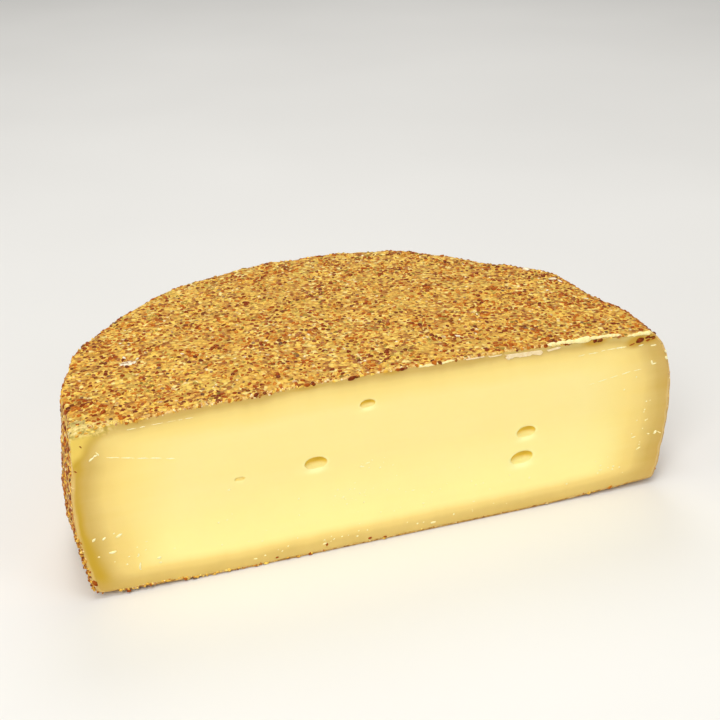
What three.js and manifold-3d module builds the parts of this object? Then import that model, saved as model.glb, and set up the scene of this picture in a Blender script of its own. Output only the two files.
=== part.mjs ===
// Half a wheel of semi-hard cheese, coated in crushed mustard seed and cut straight down beside its middle.
// Millimetres, +Z up. It rests on its flat underside, and the cut face looks along -Y.
// The origin is at the bottom centre of the part's bounding box.

import * as THREE from 'three';
import { mergeVertices } from 'three/addons/utils/BufferGeometryUtils.js';
import Module from 'manifold-3d';

// The whole wheel, before it was cut
const wheelRadius = 133.8;
const wheelHeight = 82.3;
const cutBesideMiddle = 12;

// The wheel sags: its sides bulge, its top domes and its lower rim lifts off the table
const radiusLean = 0.9;
const topBulge = 5.6;
const topBulgeLean = 2.0;
const bottomBulge = 5.3;
const domeRise = 3.9;
const rimLift = 3.4;
const backLiftShare = 0.3;
const restingRadius = 46;
const topRounding = 5.2;
const topRoundingLean = 4.2;
const rightEndRounding = 8.6;
const bottomRounding = 2.5;

// Hand-made unevenness of the outline: each swelling is centred at an angle seen from above
const swellings = [
  { angle: 100, halfWidth: 48, height: 3.8 },
  { angle: 70, halfWidth: 15, height: 4.6 },
  { angle: 154, halfWidth: 6, height: 2.2 },
  { angle: 180, halfWidth: 9, height: -1.8 },
];
const leftBelly = { angle: 166, halfWidth: 11, outward: 4.2, height: 16, halfHeight: 26 };
const rimLump = { angle: 31, halfWidth: 6.5, outward: 5.6, upward: 1.6, inward: 22 };

// Low waves of the coat, in millimetres of height and of length
const waveHeight = 0.35;
const waveLengths = [58, 74, 43];
const waveSlant = 0.4;
const thirdWaveShare = 0.6;

// How finely the wheel is divided
const turnSteps = 96;
const topSteps = 9;
const sideSteps = 7;
const roundingSteps = 3;
const undersideSteps = 4;
const mergeDistance = 1e-4;

// Eyes of the cut face: across and up from its lower middle, the width, height and depth of each,
// and by how many degrees its right end is raised
const eyes = [
  { across: -8.9, up: 68.4, width: 6.6, height: 3.7, depth: 2.6, raised: 4 },
  { across: -32.1, up: 44.9, width: 9.6, height: 5.7, depth: 3.6, raised: 1 },
  { across: 63.6, up: 40.5, width: 8.8, height: 5.4, depth: 3.4, raised: 4 },
  { across: 61.9, up: 27.7, width: 10.6, height: 6.3, depth: 4.0, raised: 5 },
  { across: -64.4, up: 44.2, width: 4.2, height: 1.8, depth: 0.8, raised: 0 },
];
const eyeSides = 14;
const eyeRings = 7;

// A chip knocked out of the coat, on the top near its left end
const chip = { angle: 158.7, radius: 105.3, length: 7, width: 5, depth: 1.0 };

// The largest mustard seeds that stand out of the coat
const seedLength = 2.7;
const seedWidth = 2.3;
const seedHeight = 2.1;
const seedSizeSpread = 0.18;
const seedSunk = 0.22;
const topSeeds = 135;
const sideSeeds = 90;
const seedClearOfCut = 2.2;
const seedClearOfTable = 5;
const coatStartAngle = -6;
const coatSweep = 192;
const randomSeed = 7;

const coatMaterial = new THREE.MeshStandardMaterial({ color: 0xd8a84f, roughness: 0.62, metalness: 0 });

const wasm = await Module();
wasm.setup();

function radians(degrees) {
  return degrees * Math.PI / 180;
}

// Evenly spread numbers from 0 to 1, the same ones each time
function makeRandom(start) {
  const factor = 16807;
  const largest = 2 ** 31 - 1;
  let state = start;
  return () => {
    state = (state * factor) % largest;
    return state / largest;
  };
}

function hump(distance, halfWidth) {
  return Math.exp(-((distance / halfWidth) ** 2));
}

// Profile of the wheel

function sideRadius(height, lean) {
  const middle = wheelHeight / 2;
  const towardEdge = (height - middle) / middle;
  const bulge = towardEdge > 0 ? topBulge + topBulgeLean * lean : bottomBulge;
  return wheelRadius + radiusLean * lean - bulge * towardEdge ** 2;
}

function topHeight(radius) {
  return wheelHeight - domeRise * (radius / wheelRadius) ** 2;
}

// The underside lifts more at the two ends of the cut than at the back
function undersideHeight(radius, lean) {
  const beyondRest = Math.max(radius - restingRadius, 0) / (wheelRadius - restingRadius);
  const share = THREE.MathUtils.lerp(backLiftShare, 1, lean ** 2);
  return rimLift * share * beyondRest ** 2;
}

// A rounded corner: from one point to the next by way of the corner between them
function roundedCorner(from, corner, to) {
  return new THREE.QuadraticBezierCurve(from, corner, to).getPoints(roundingSteps);
}

// Half section of the wheel from the middle of its underside to the middle of its top.
// lean is 1 towards the right end of the cut, 0 at the back and -1 towards the left end.
// Near the right end, the rounding of the top edge reaches further down the side.
function wheelProfile(lean) {
  const rounding = topRounding + topRoundingLean * lean;
  const lowRim = sideRadius(rimLift, lean);
  const highEdge = wheelHeight - domeRise;
  const highRim = sideRadius(highEdge, lean);
  const points = [new THREE.Vector2(0, 0)];

  const undersideEnd = lowRim - bottomRounding;
  for (let step = 0; step < undersideSteps; step++) {
    const radius = THREE.MathUtils.lerp(restingRadius, undersideEnd, step / undersideSteps);
    points.push(new THREE.Vector2(radius, undersideHeight(radius, lean)));
  }
  const lowCorner = new THREE.Vector2(lowRim, undersideHeight(lowRim, lean));
  const sideStart = rimLift + bottomRounding;
  points.push(...roundedCorner(
    new THREE.Vector2(undersideEnd, undersideHeight(undersideEnd, lean)),
    lowCorner,
    new THREE.Vector2(sideRadius(sideStart, lean), sideStart),
  ));

  const sideEnd = highEdge - rounding - rightEndRounding * Math.max(lean, 0) ** 8;
  for (let step = 1; step < sideSteps; step++) {
    const height = THREE.MathUtils.lerp(sideStart, sideEnd, step / sideSteps);
    points.push(new THREE.Vector2(sideRadius(height, lean), height));
  }
  const topEnd = highRim - rounding;
  points.push(...roundedCorner(
    new THREE.Vector2(sideRadius(sideEnd, lean), sideEnd),
    new THREE.Vector2(highRim, topHeight(highRim)),
    new THREE.Vector2(topEnd, topHeight(topEnd)),
  ));

  for (let step = 1; step < topSteps; step++) {
    const radius = topEnd * (1 - step / topSteps);
    points.push(new THREE.Vector2(radius, topHeight(radius)));
  }
  points.push(new THREE.Vector2(0, wheelHeight));
  return points;
}

// Unevenness, by the angle seen from above, with 0 to the right and 90 to the back

function outlineSwelling(angle) {
  let total = 0;
  for (const swelling of swellings) {
    total += swelling.height * hump(angle - swelling.angle, swelling.halfWidth);
  }
  return total;
}

function bellyAt(angle, height) {
  const along = hump(angle - leftBelly.angle, leftBelly.halfWidth);
  return along * hump(height - leftBelly.height, leftBelly.halfHeight);
}

function rimLumpAt(angle, radius, height) {
  const along = hump(angle - rimLump.angle, rimLump.halfWidth);
  const across = hump(Math.max(wheelRadius - radius, 0), rimLump.inward);
  return along * across * (height / wheelHeight) ** 3;
}

function waves(x, y, z) {
  const [first, second, third] = waveLengths;
  const turn = 2 * Math.PI;
  return waveHeight * (
    Math.sin(turn * (x + waveSlant * y) / first) * Math.cos(turn * (y - z) / second)
    + thirdWaveShare * Math.sin(turn * (x - y + z) / third)
  );
}

// The point of the uneven wheel that stands for a point of the even one
function shapedPoint(angle, radius, height) {
  const share = radius / wheelRadius;
  const lump = rimLumpAt(angle, radius, height);
  const swelling = outlineSwelling(angle) + leftBelly.outward * bellyAt(angle, height);
  const even = radius + swelling * share ** 2 + rimLump.outward * lump;
  const x = even * Math.cos(radians(angle));
  const y = even * Math.sin(radians(angle));
  const offTable = THREE.MathUtils.smoothstep(height, rimLift, wheelHeight / 2);
  const relief = waves(x, y, height) * offTable;
  const upward = relief + rimLump.upward * lump;
  const outward = relief * share ** 4;
  return new THREE.Vector3(
    x + outward * Math.cos(radians(angle)),
    y + outward * Math.sin(radians(angle)),
    height + upward,
  );
}

function leanAt(angle) {
  return Math.cos(radians(angle));
}

// The whole wheel, its axis on Z: a lathed wheel whose sections are then moved onto the uneven profile
function wheelGeometry() {
  const evenProfile = wheelProfile(0);
  const geometry = new THREE.LatheGeometry(evenProfile, turnSteps).rotateX(Math.PI / 2);
  const position = geometry.getAttribute('position');
  for (let section = 0; section <= turnSteps; section++) {
    const angle = 360 * (section % turnSteps) / turnSteps - 90;
    wheelProfile(leanAt(angle)).forEach((corner, level) => {
      const point = shapedPoint(angle, corner.x, corner.y);
      position.setXYZ(section * evenProfile.length + level, point.x, point.y, point.z);
    });
  }
  return joinedGeometry(geometry);
}

// Solids

function joinedGeometry(geometry) {
  geometry.deleteAttribute('normal');
  geometry.deleteAttribute('uv');
  return mergeVertices(geometry, mergeDistance);
}

// Triangles with two corners alike, which a lathe leaves on its axis, are dropped
function toSolid(geometry) {
  const corners = geometry.index.array;
  const kept = [];
  for (let i = 0; i < corners.length; i += 3) {
    const [a, b, c] = corners.slice(i, i + 3);
    if (a !== b && b !== c && c !== a) {
      kept.push(a, b, c);
    }
  }
  return new wasm.Manifold(new wasm.Mesh({
    numProp: 3,
    vertProperties: new Float32Array(geometry.getAttribute('position').array),
    triVerts: new Uint32Array(kept),
  }));
}

function toGeometry(solid) {
  const mesh = solid.getMesh();
  const geometry = new THREE.BufferGeometry();
  geometry.setAttribute('position', new THREE.BufferAttribute(new Float32Array(mesh.vertProperties), 3));
  geometry.setIndex(new THREE.BufferAttribute(new Uint32Array(mesh.triVerts), 1));
  return geometry;
}

// A block that covers everything in front of the cut
function cutAwayBlock() {
  const size = 4 * wheelRadius;
  const block = new THREE.BoxGeometry(size, size, size);
  block.translate(0, -cutBesideMiddle - size / 2, 0);
  return toSolid(joinedGeometry(block));
}

// A ball stretched to a length along X, a width along Y and a height along Z
function ellipsoid(ball, length, width, height) {
  return joinedGeometry(ball).scale(length / 2, width / 2, height / 2);
}

function hollow(length, width, height) {
  return ellipsoid(new THREE.SphereGeometry(1, eyeSides, eyeRings), length, width, height);
}

function eyeSolid(eye) {
  const ball = hollow(eye.width, 2 * eye.depth, eye.height);
  ball.rotateY(-radians(eye.raised));
  ball.translate(eye.across, -cutBesideMiddle, eye.up);
  return toSolid(ball);
}

function chipSolid() {
  const ball = hollow(chip.length, chip.width, 2 * chip.depth);
  const { x, y, z } = topPoint(chip.angle, chip.radius);
  ball.translate(x, y, z);
  return toSolid(ball);
}

// Points of the coat, and the direction that faces out of it there

function topPoint(angle, radius) {
  return shapedPoint(angle, radius, topHeight(radius));
}

function sidePoint(angle, height) {
  return shapedPoint(angle, sideRadius(height, leanAt(angle)), height);
}

function surfaceAt(point, nextAlongRim, nextUpwardOrInward) {
  const alongRim = nextAlongRim.sub(point);
  const alongProfile = nextUpwardOrInward.sub(point);
  return { point, outward: alongRim.cross(alongProfile).normalize() };
}

function topSurface(angle, radius) {
  return surfaceAt(topPoint(angle, radius), topPoint(angle + 1, radius), topPoint(angle, radius - 1));
}

function sideSurface(angle, height) {
  return surfaceAt(sidePoint(angle, height), sidePoint(angle + 1, height), sidePoint(angle, height + 1));
}

function seedSolid(surface, random) {
  const size = new THREE.Vector3().setScalar(1 + seedSizeSpread * (2 * random() - 1));
  const seed = ellipsoid(new THREE.IcosahedronGeometry(1, 0), seedLength, seedWidth, seedHeight);
  const spin = new THREE.Quaternion().setFromAxisAngle(new THREE.Vector3(0, 0, 1), 2 * Math.PI * random());
  const facing = new THREE.Quaternion().setFromUnitVectors(new THREE.Vector3(0, 0, 1), surface.outward);
  const centre = surface.point.clone().addScaledVector(surface.outward, -seedSunk * seedHeight);
  seed.applyMatrix4(new THREE.Matrix4().compose(centre, facing.multiply(spin), size));
  return toSolid(seed);
}

// Seeds spread evenly over the top, along a spiral that turns by the golden angle
function topSeedSurfaces(random) {
  const goldenAngle = 180 * (3 - Math.sqrt(5));
  const reach = sideRadius(wheelHeight - domeRise, 0) - topRounding;
  const surfaces = [];
  const fullTurnSeeds = 2 * topSeeds;
  for (let i = 0; i < fullTurnSeeds; i++) {
    const radius = reach * Math.sqrt((i + random()) / fullTurnSeeds);
    const angle = (i * goldenAngle) % 360 - 90;
    surfaces.push(topSurface(angle, radius));
  }
  return surfaces;
}

// Seeds spread evenly over the side, with the height of each a golden share on from the last one
function sideSeedSurfaces(random) {
  const goldenShare = (Math.sqrt(5) - 1) / 2;
  const lowest = seedClearOfTable;
  const highest = wheelHeight - domeRise - topRounding - topRoundingLean;
  const surfaces = [];
  for (let i = 0; i < sideSeeds; i++) {
    const angle = coatStartAngle + coatSweep * (i + random()) / sideSeeds;
    const height = lowest + (highest - lowest) * ((i * goldenShare) % 1);
    surfaces.push(sideSurface(angle, height));
  }
  return surfaces;
}

function cheeseSolid() {
  const random = makeRandom(randomSeed);
  const surfaces = [...topSeedSurfaces(random), ...sideSeedSurfaces(random)];
  const kept = surfaces.filter((surface) => surface.point.y > seedClearOfCut - cutBesideMiddle);
  let cheese = toSolid(wheelGeometry()).subtract(cutAwayBlock());
  cheese = cheese.subtract(chipSolid());
  for (const surface of kept) {
    cheese = cheese.add(seedSolid(surface, random));
  }
  for (const eye of eyes) {
    cheese = cheese.subtract(eyeSolid(eye));
  }
  return cheese;
}

function cheeseMesh() {
  const geometry = toGeometry(cheeseSolid());
  geometry.computeBoundingBox();
  const { min, max } = geometry.boundingBox;
  geometry.translate(-(min.x + max.x) / 2, -(min.y + max.y) / 2, -min.z);
  const mesh = new THREE.Mesh(geometry, coatMaterial);
  mesh.name = 'cheese';
  return mesh;
}

const group = new THREE.Group();
group.add(cheeseMesh());

export default group;
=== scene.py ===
# Half a wheel of semi-hard cheese in a coat of crushed mustard seed, cut straight down beside its middle.
# Shapes are worked out in millimetres with the wheel's axis at the origin and the cut facing -Y,
# from the same sizes as the solid. They become metres, in the solid's place, as each mesh is made.

import math
from collections import namedtuple

import bmesh
import bpy
import numpy as np
from mathutils import Matrix, Vector, noise


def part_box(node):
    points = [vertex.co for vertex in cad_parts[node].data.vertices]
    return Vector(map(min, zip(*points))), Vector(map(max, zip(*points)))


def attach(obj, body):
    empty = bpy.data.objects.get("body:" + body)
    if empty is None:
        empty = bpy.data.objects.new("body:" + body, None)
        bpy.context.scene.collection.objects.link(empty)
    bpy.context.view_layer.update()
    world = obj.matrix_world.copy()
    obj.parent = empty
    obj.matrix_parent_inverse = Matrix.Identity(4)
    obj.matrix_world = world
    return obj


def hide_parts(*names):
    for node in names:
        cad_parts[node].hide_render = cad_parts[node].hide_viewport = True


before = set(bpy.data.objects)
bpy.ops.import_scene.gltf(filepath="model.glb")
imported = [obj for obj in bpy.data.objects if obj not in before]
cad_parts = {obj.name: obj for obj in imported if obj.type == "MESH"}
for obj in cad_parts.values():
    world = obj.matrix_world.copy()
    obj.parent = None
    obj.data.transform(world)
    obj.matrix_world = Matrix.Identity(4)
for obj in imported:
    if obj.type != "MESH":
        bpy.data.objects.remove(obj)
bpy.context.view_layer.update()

# Sizes that the solid has too
WHEEL_RADIUS = 133.8
WHEEL_HEIGHT = 82.3
CUT_BESIDE_MIDDLE = 12
RADIUS_LEAN = 0.9
TOP_BULGE = 5.6
TOP_BULGE_LEAN = 2.0
BOTTOM_BULGE = 5.3
DOME_RISE = 3.9
RIM_LIFT = 3.4
BACK_LIFT_SHARE = 0.3
RESTING_RADIUS = 46
TOP_ROUNDING = 5.2
TOP_ROUNDING_LEAN = 4.2
RIGHT_END_ROUNDING = 8.6
RIGHT_END_SHARPNESS = 8
BOTTOM_ROUNDING = 2.5
SIDE_START = RIM_LIFT + BOTTOM_ROUNDING
RIM_HEIGHT = WHEEL_HEIGHT - DOME_RISE
SWELLINGS = [(100, 48, 3.8), (70, 15, 4.6), (154, 6, 2.2), (180, 9, -1.8)]
LEFT_BELLY = {"angle": 166, "half_width": 11, "outward": 4.2, "height": 16, "half_height": 26}
RIM_LUMP = {"angle": 31, "half_width": 6.5, "outward": 5.6, "upward": 1.6, "inward": 22}
WAVE_HEIGHT = 0.35
WAVE_LENGTHS = (58, 74, 43)
WAVE_SLANT = 0.4
THIRD_WAVE_SHARE = 0.6
CHIP = {"angle": 158.7, "radius": 105.3, "length": 7, "width": 5, "depth": 1.0}

# Eyes of the cut face: across and up, the width, height and depth, and how far the right end is raised
EYES = [
    (-8.9, 68.4, 6.6, 3.7, 2.6, 4),
    (-32.1, 44.9, 9.6, 5.7, 3.6, 1),
    (63.6, 40.5, 8.8, 5.4, 3.4, 4),
    (61.9, 27.7, 10.6, 6.3, 4.0, 5),
    (-64.4, 44.2, 4.2, 1.8, 0.8, 0),
]

# Where the wheel's axis stands in the solid's frame
AXIS_ACROSS = -0.749
AXIS_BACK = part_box("cheese")[0].y * 1000 + CUT_BESIDE_MIDDLE

# The camera: its place in metres, and its turns in degrees
CAMERA_PLACE = (-0.141974, -0.488912, 0.303420)
CAMERA_PITCH = 26.32707
CAMERA_YAW = -17.39332
CAMERA_ROLL = -1.62739
CAMERA_LENS = 60
SENSOR_WIDTH = 36

# How finely the coat and the face are divided
TOP_STEPS = 100
BOTTOM_ROWS = 6
SIDE_ROWS = 46
TOP_ROWS = 10
SETTLING_ROUNDS = 6
FACE_STEPS_ACROSS = 350
FACE_STEPS_UP = 108

RANDOM_SEED = 11


# Shape of the wheel

def hump(distance, half_width):
    return np.exp(-((distance / half_width) ** 2))


def smoothstep(value, low, high):
    share = np.clip((value - low) / (high - low), 0, 1)
    return share * share * (3 - 2 * share)


def fade(value, low, high):
    """1 up to the low value and 0 from the high one on"""
    return 1 - smoothstep(value, low, high)


def side_radius(height, lean):
    toward_edge = (height - WHEEL_HEIGHT / 2) / (WHEEL_HEIGHT / 2)
    bulge = np.where(toward_edge > 0, TOP_BULGE + TOP_BULGE_LEAN * lean, BOTTOM_BULGE)
    return WHEEL_RADIUS + RADIUS_LEAN * lean - bulge * toward_edge ** 2


def top_height(radius):
    return WHEEL_HEIGHT - DOME_RISE * (radius / WHEEL_RADIUS) ** 2


def underside_height(radius, lean):
    beyond_rest = np.maximum(radius - RESTING_RADIUS, 0) / (WHEEL_RADIUS - RESTING_RADIUS)
    share = BACK_LIFT_SHARE + (1 - BACK_LIFT_SHARE) * lean ** 2
    return RIM_LIFT * share * beyond_rest ** 2


def rounded_corner(start, corner, end, share):
    """A point of a rounded corner, as radius and height"""
    weights = ((1 - share) ** 2, 2 * share * (1 - share), share ** 2)
    return [
        sum(weight * point[part] for weight, point in zip(weights, (start, corner, end)))
        for part in (0, 1)
    ]


def low_corner(share, lean):
    rim = side_radius(RIM_LIFT, lean)
    inner = rim - BOTTOM_ROUNDING
    return rounded_corner(
        (inner, underside_height(inner, lean)),
        (rim, underside_height(rim, lean)),
        (side_radius(SIDE_START, lean), SIDE_START),
        share,
    )


def side_end(lean):
    at_right_end = np.maximum(lean, 0) ** RIGHT_END_SHARPNESS
    return RIM_HEIGHT - (TOP_ROUNDING + TOP_ROUNDING_LEAN * lean + RIGHT_END_ROUNDING * at_right_end)


def side_wall(share, lean):
    height = SIDE_START + share * (side_end(lean) - SIDE_START)
    return side_radius(height, lean), height


def high_corner(share, lean):
    rim = side_radius(RIM_HEIGHT, lean)
    inner = rim - TOP_ROUNDING - TOP_ROUNDING_LEAN * lean
    end = side_end(lean)
    return rounded_corner(
        (side_radius(end, lean), end),
        (rim, top_height(rim)),
        (inner, top_height(inner)),
        share,
    )


def profile_levels():
    """Every level of the side, from the underside's edge to the top's, as (function, share)"""
    levels = [(low_corner, step / BOTTOM_ROWS) for step in range(BOTTOM_ROWS)]
    levels += [(side_wall, step / SIDE_ROWS) for step in range(SIDE_ROWS)]
    levels += [(high_corner, step / TOP_ROWS) for step in range(TOP_ROWS + 1)]
    return levels


def outline_swelling(angle):
    return sum(height * hump(angle - centre, half_width) for centre, half_width, height in SWELLINGS)


def belly_at(angle, height):
    along = hump(angle - LEFT_BELLY["angle"], LEFT_BELLY["half_width"])
    return along * hump(height - LEFT_BELLY["height"], LEFT_BELLY["half_height"])


def rim_lump_at(angle, radius, height):
    along = hump(angle - RIM_LUMP["angle"], RIM_LUMP["half_width"])
    across = hump(np.maximum(WHEEL_RADIUS - radius, 0), RIM_LUMP["inward"])
    return along * across * (height / WHEEL_HEIGHT) ** 3


def waves(x, y, z):
    first, second, third = WAVE_LENGTHS
    turn = 2 * math.pi
    long_waves = np.sin(turn * (x + WAVE_SLANT * y) / first) * np.cos(turn * (y - z) / second)
    short_waves = np.sin(turn * (x - y + z) / third)
    return WAVE_HEIGHT * (long_waves + THIRD_WAVE_SHARE * short_waves)


def shaped_points(angle, radius, height):
    """The points of the uneven wheel that stand for points of the even one, by angle in radians"""
    degrees = np.degrees(angle)
    degrees = np.where(degrees < -90, degrees + 360, degrees)
    share = radius / WHEEL_RADIUS
    lump = rim_lump_at(degrees, radius, height)
    swelling = outline_swelling(degrees) + LEFT_BELLY["outward"] * belly_at(degrees, height)
    even = radius + swelling * share ** 2 + RIM_LUMP["outward"] * lump
    x = even * np.cos(angle)
    y = even * np.sin(angle)
    relief = waves(x, y, height) * smoothstep(height, RIM_LIFT, WHEEL_HEIGHT / 2)
    outward = relief * share ** 4
    return np.stack([
        x + outward * np.cos(angle),
        y + outward * np.sin(angle),
        height + relief + RIM_LUMP["upward"] * lump,
    ], axis=-1)


def ray_length(direction, radius):
    """How far a ray from the middle of the cut runs to a circle about the axis"""
    sideways = CUT_BESIDE_MIDDLE * np.cos(direction)
    return CUT_BESIDE_MIDDLE * np.sin(direction) + np.sqrt(radius ** 2 - sideways ** 2)


def plan_angle_and_radius(direction, length):
    x = length * np.cos(direction)
    y = length * np.sin(direction) - CUT_BESIDE_MIDDLE
    return np.arctan2(y, x), np.hypot(x, y)


def settle_on_level(level, share, direction):
    """Angle, radius and height where rays from the cut's middle meet one level of the profile"""
    angle = direction
    for _ in range(SETTLING_ROUNDS):
        radius, height = level(share, np.cos(angle))
        radius = radius + 0 * direction
        height = height + 0 * direction
        angle, _ = plan_angle_and_radius(direction, ray_length(direction, radius))
    return angle, radius, height


def half_disc(steps):
    """Share of the way out and direction of a grid over half a disc, evenly divided"""
    shares_across = np.linspace(-1, 1, 2 * steps + 1)
    across, back = np.meshgrid(shares_across, np.linspace(0, 1, steps + 1), indexing="ij")
    beside = np.abs(across) > back
    share = np.where(beside, np.abs(across), back)
    safe = np.where(share == 0, 1, share)
    slope_right = math.pi / 4 * back / safe
    direction = np.where(
        beside,
        np.where(across > 0, slope_right, math.pi - slope_right),
        math.pi / 2 - math.pi / 4 * across / safe,
    )
    return share, direction


def grid_faces(ids):
    """Quads between neighbouring points of a grid of point numbers"""
    return np.stack([ids[:-1, :-1], ids[1:, :-1], ids[1:, 1:], ids[:-1, 1:]], axis=-1).reshape(-1, 4)


def cap_points(level, share_of_level, height_at, steps):
    """Grid of points over the top or the underside, out to a level of the profile"""
    share, direction = half_disc(steps)
    _, edge_radius, _ = settle_on_level(level, share_of_level, direction)
    angle, radius = plan_angle_and_radius(direction, share * ray_length(direction, edge_radius))
    return shaped_points(angle, radius, height_at(radius, np.cos(angle)))


def edge_of_cap(ids, steps):
    """The point numbers along a cap's round edge, from the right end of the cut to the left"""
    return np.concatenate([ids[2 * steps, :steps], ids[::-1, steps], ids[0, steps - 1::-1]])


# Noise and normals

def noise_at(points, length, seed):
    """Smooth noise from about -1 to 1 whose lumps are about that far apart"""
    start = Vector((17.3 * seed, 5.7 * seed, 11.9 * seed))
    return np.array([noise.noise(Vector(point) / length + start) for point in points])


def uneven(points, rows):
    """Several layers of noise added up, each as how strong, how far apart its lumps are, and its seed"""
    return sum(strength * noise_at(points, length, seed) for strength, length, seed in rows)


def uneven_along(x, rows):
    """The same along a line that runs across the face"""
    return uneven(np.stack([x, 0 * x, 0 * x], axis=1), rows)


def point_normals(points, quads):
    across = points[quads[:, 2]] - points[quads[:, 0]]
    along = points[quads[:, 3]] - points[quads[:, 1]]
    facing = np.cross(across, along)
    normals = np.zeros_like(points)
    for corner in range(4):
        np.add.at(normals, quads[:, corner], facing)
    return normals / np.maximum(np.linalg.norm(normals, axis=1, keepdims=True), 1e-9)


# Meshes

def to_metres(points):
    return (points + np.array([AXIS_ACROSS, AXIS_BACK, 0])) / 1000


def fill_mesh(mesh, points, faces):
    corners = np.concatenate([group.ravel() for group in faces]).astype(np.int32)
    counts = np.concatenate([np.full(len(group), group.shape[1]) for group in faces])
    starts = np.concatenate([[0], np.cumsum(counts)[:-1]]).astype(np.int32)
    mesh.vertices.add(len(points))
    mesh.vertices.foreach_set("co", to_metres(points).astype(np.float32).ravel())
    mesh.loops.add(len(corners))
    mesh.loops.foreach_set("vertex_index", corners)
    mesh.polygons.add(len(counts))
    mesh.polygons.foreach_set("loop_start", starts)
    mesh.update(calc_edges=True)
    mesh.shade_smooth()


def face_outward(mesh):
    work = bmesh.new()
    work.from_mesh(mesh)
    bmesh.ops.recalc_face_normals(work, faces=work.faces)
    work.to_mesh(mesh)
    work.free()


def put_in_scene(name, data):
    thing = bpy.data.objects.new(name, data)
    bpy.context.scene.collection.objects.link(thing)
    return thing


def new_object(name, points, faces, material):
    mesh = bpy.data.meshes.new(name)
    fill_mesh(mesh, points, faces)
    mesh.materials.append(material)
    return put_in_scene(name, mesh)


def add_piece(piece):
    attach(piece, "root")
    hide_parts("cheese")


def set_attributes(mesh, values):
    for name, numbers in values.items():
        attribute = mesh.attributes.new(name, "FLOAT", "POINT")
        attribute.data.foreach_set("value", np.asarray(numbers, dtype=np.float32))


def mesh_points(mesh):
    """The mesh's points in millimetres about the wheel's axis"""
    points = np.empty(len(mesh.vertices) * 3, dtype=np.float32)
    mesh.vertices.foreach_get("co", points)
    return points.reshape(-1, 3).astype(float) * 1000 - np.array([AXIS_ACROSS, AXIS_BACK, 0])


# The coat

# Bumps of the coat: how high, how far apart, and the seed of their noise
COAT_BUMPS = [(0.30, 19, 1), (0.32, 7.5, 2), (0.34, 3.4, 3)]

# Between these heights above the floor the bumps grow from none to all of their height, slowly at first
BUMPS_GROW_BETWEEN = (0.2, 2.5)
GROWTH_AT_FIRST = 0.25

COAT_RESTS_AT = 0.15
COAT_EDGE_WIDTH = 3.0
COAT_POCKET_DEPTH = 9.0

# How far back the coat has the look of its cut edge
CUT_EDGE_REACH = 1.1

# The paler coat down both ends of the cut: where it starts and is full, to either side and downward
PALE_ENDS = {"outward": (116, 123), "upward": (74, 79), "strength": 0.85}

# The coat dragged at the upper left corner: where it starts and is full, and how far back it goes
DRAGGED_CORNER = {"outward": (106, 114), "upward": (73, 77), "back": 4.5}

# Each side of the cut: the axis that runs along it, and which way along the other one is out
SIDES = {"top": (0, 1), "right": (2, 1), "bottom": (0, -1), "left": (2, -1)}


def coat_surface():
    """Points and quads of the coat, without its cut side, and the point numbers of its cut's four sides"""
    steps = TOP_STEPS
    cap_shape = (2 * steps + 1, steps + 1)
    cap_count = cap_shape[0] * cap_shape[1]
    top = cap_points(high_corner, 1, lambda radius, lean: top_height(radius), steps)
    underside = cap_points(low_corner, 0, underside_height, steps)
    top_ids = np.arange(cap_count).reshape(cap_shape)
    underside_ids = cap_count + top_ids

    levels = profile_levels()[1:-1]
    directions = np.linspace(0, math.pi, 4 * steps + 1)
    rows = [shaped_points(*settle_on_level(level, share, directions)) for level, share in levels]
    band_ids = 2 * cap_count + np.arange(len(levels) * len(directions)).reshape(len(levels), -1)
    band_ids = np.vstack([edge_of_cap(underside_ids, steps), band_ids, edge_of_cap(top_ids, steps)])

    points = np.concatenate([top.reshape(-1, 3), underside.reshape(-1, 3), np.concatenate(rows)])
    turned_over = [grid_faces(ids)[:, ::-1] for ids in (underside_ids, band_ids)]
    quads = np.concatenate([grid_faces(top_ids), *turned_over])
    sides = {
        "top": top_ids[:, 0],
        "right": band_ids[::-1, 0],
        "bottom": underside_ids[::-1, 0],
        "left": band_ids[:, -1],
    }
    return points, quads, sides


def chip_depth_at(points):
    """How deep a point lies in the knocked-out chip, as a share, and 0 outside it"""
    angle, radius = np.radians(CHIP["angle"]), CHIP["radius"]
    centre = shaped_points(angle, radius, top_height(radius))
    across = (points[:, 0] - centre[0]) / (CHIP["length"] / 2)
    back = (points[:, 1] - centre[1]) / (CHIP["width"] / 2)
    inside = np.clip(1 - across ** 2 - back ** 2, 0, 1)
    return np.where(points[:, 2] > WHEEL_HEIGHT / 2, inside, 0)


def rough_coat_surface():
    """The coat with its bumps and its chip: points, quads, the sides of the cut and the chip's depth"""
    points, quads, sides = coat_surface()
    normals = point_normals(points, quads)
    grown = smoothstep(points[:, 2], *BUMPS_GROW_BETWEEN)
    relief = uneven(points, COAT_BUMPS) * (GROWTH_AT_FIRST + (1 - GROWTH_AT_FIRST) * grown)
    relief = np.where(grown < 1, np.maximum(relief, 0) * grown + relief * grown, relief)
    chip = chip_depth_at(points)
    points = points + normals * (relief - CHIP["depth"] * np.sqrt(chip))[:, None]
    points[:, 2] = np.maximum(points[:, 2], COAT_RESTS_AT)
    for ids in sides.values():
        points[ids, 1] = -CUT_BESIDE_MIDDLE
    return points, quads, sides, chip


def outline_loop(sides):
    """The point numbers round the cut edge, each once"""
    return np.concatenate([sides[name][:-1] for name in SIDES])


def inset_loop(loop, distance):
    """A loop on the cut plane moved inward by a distance, the same all round or point by point"""
    following = np.roll(loop, -2, axis=0) - np.roll(loop, 2, axis=0)
    tangent = following[:, [0, 2]] / np.linalg.norm(following[:, [0, 2]], axis=1, keepdims=True)
    inward = np.stack([tangent[:, 1], 0 * tangent[:, 0], -tangent[:, 0]], axis=1)
    return loop + inward * np.broadcast_to(distance, len(loop))[:, None]


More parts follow.
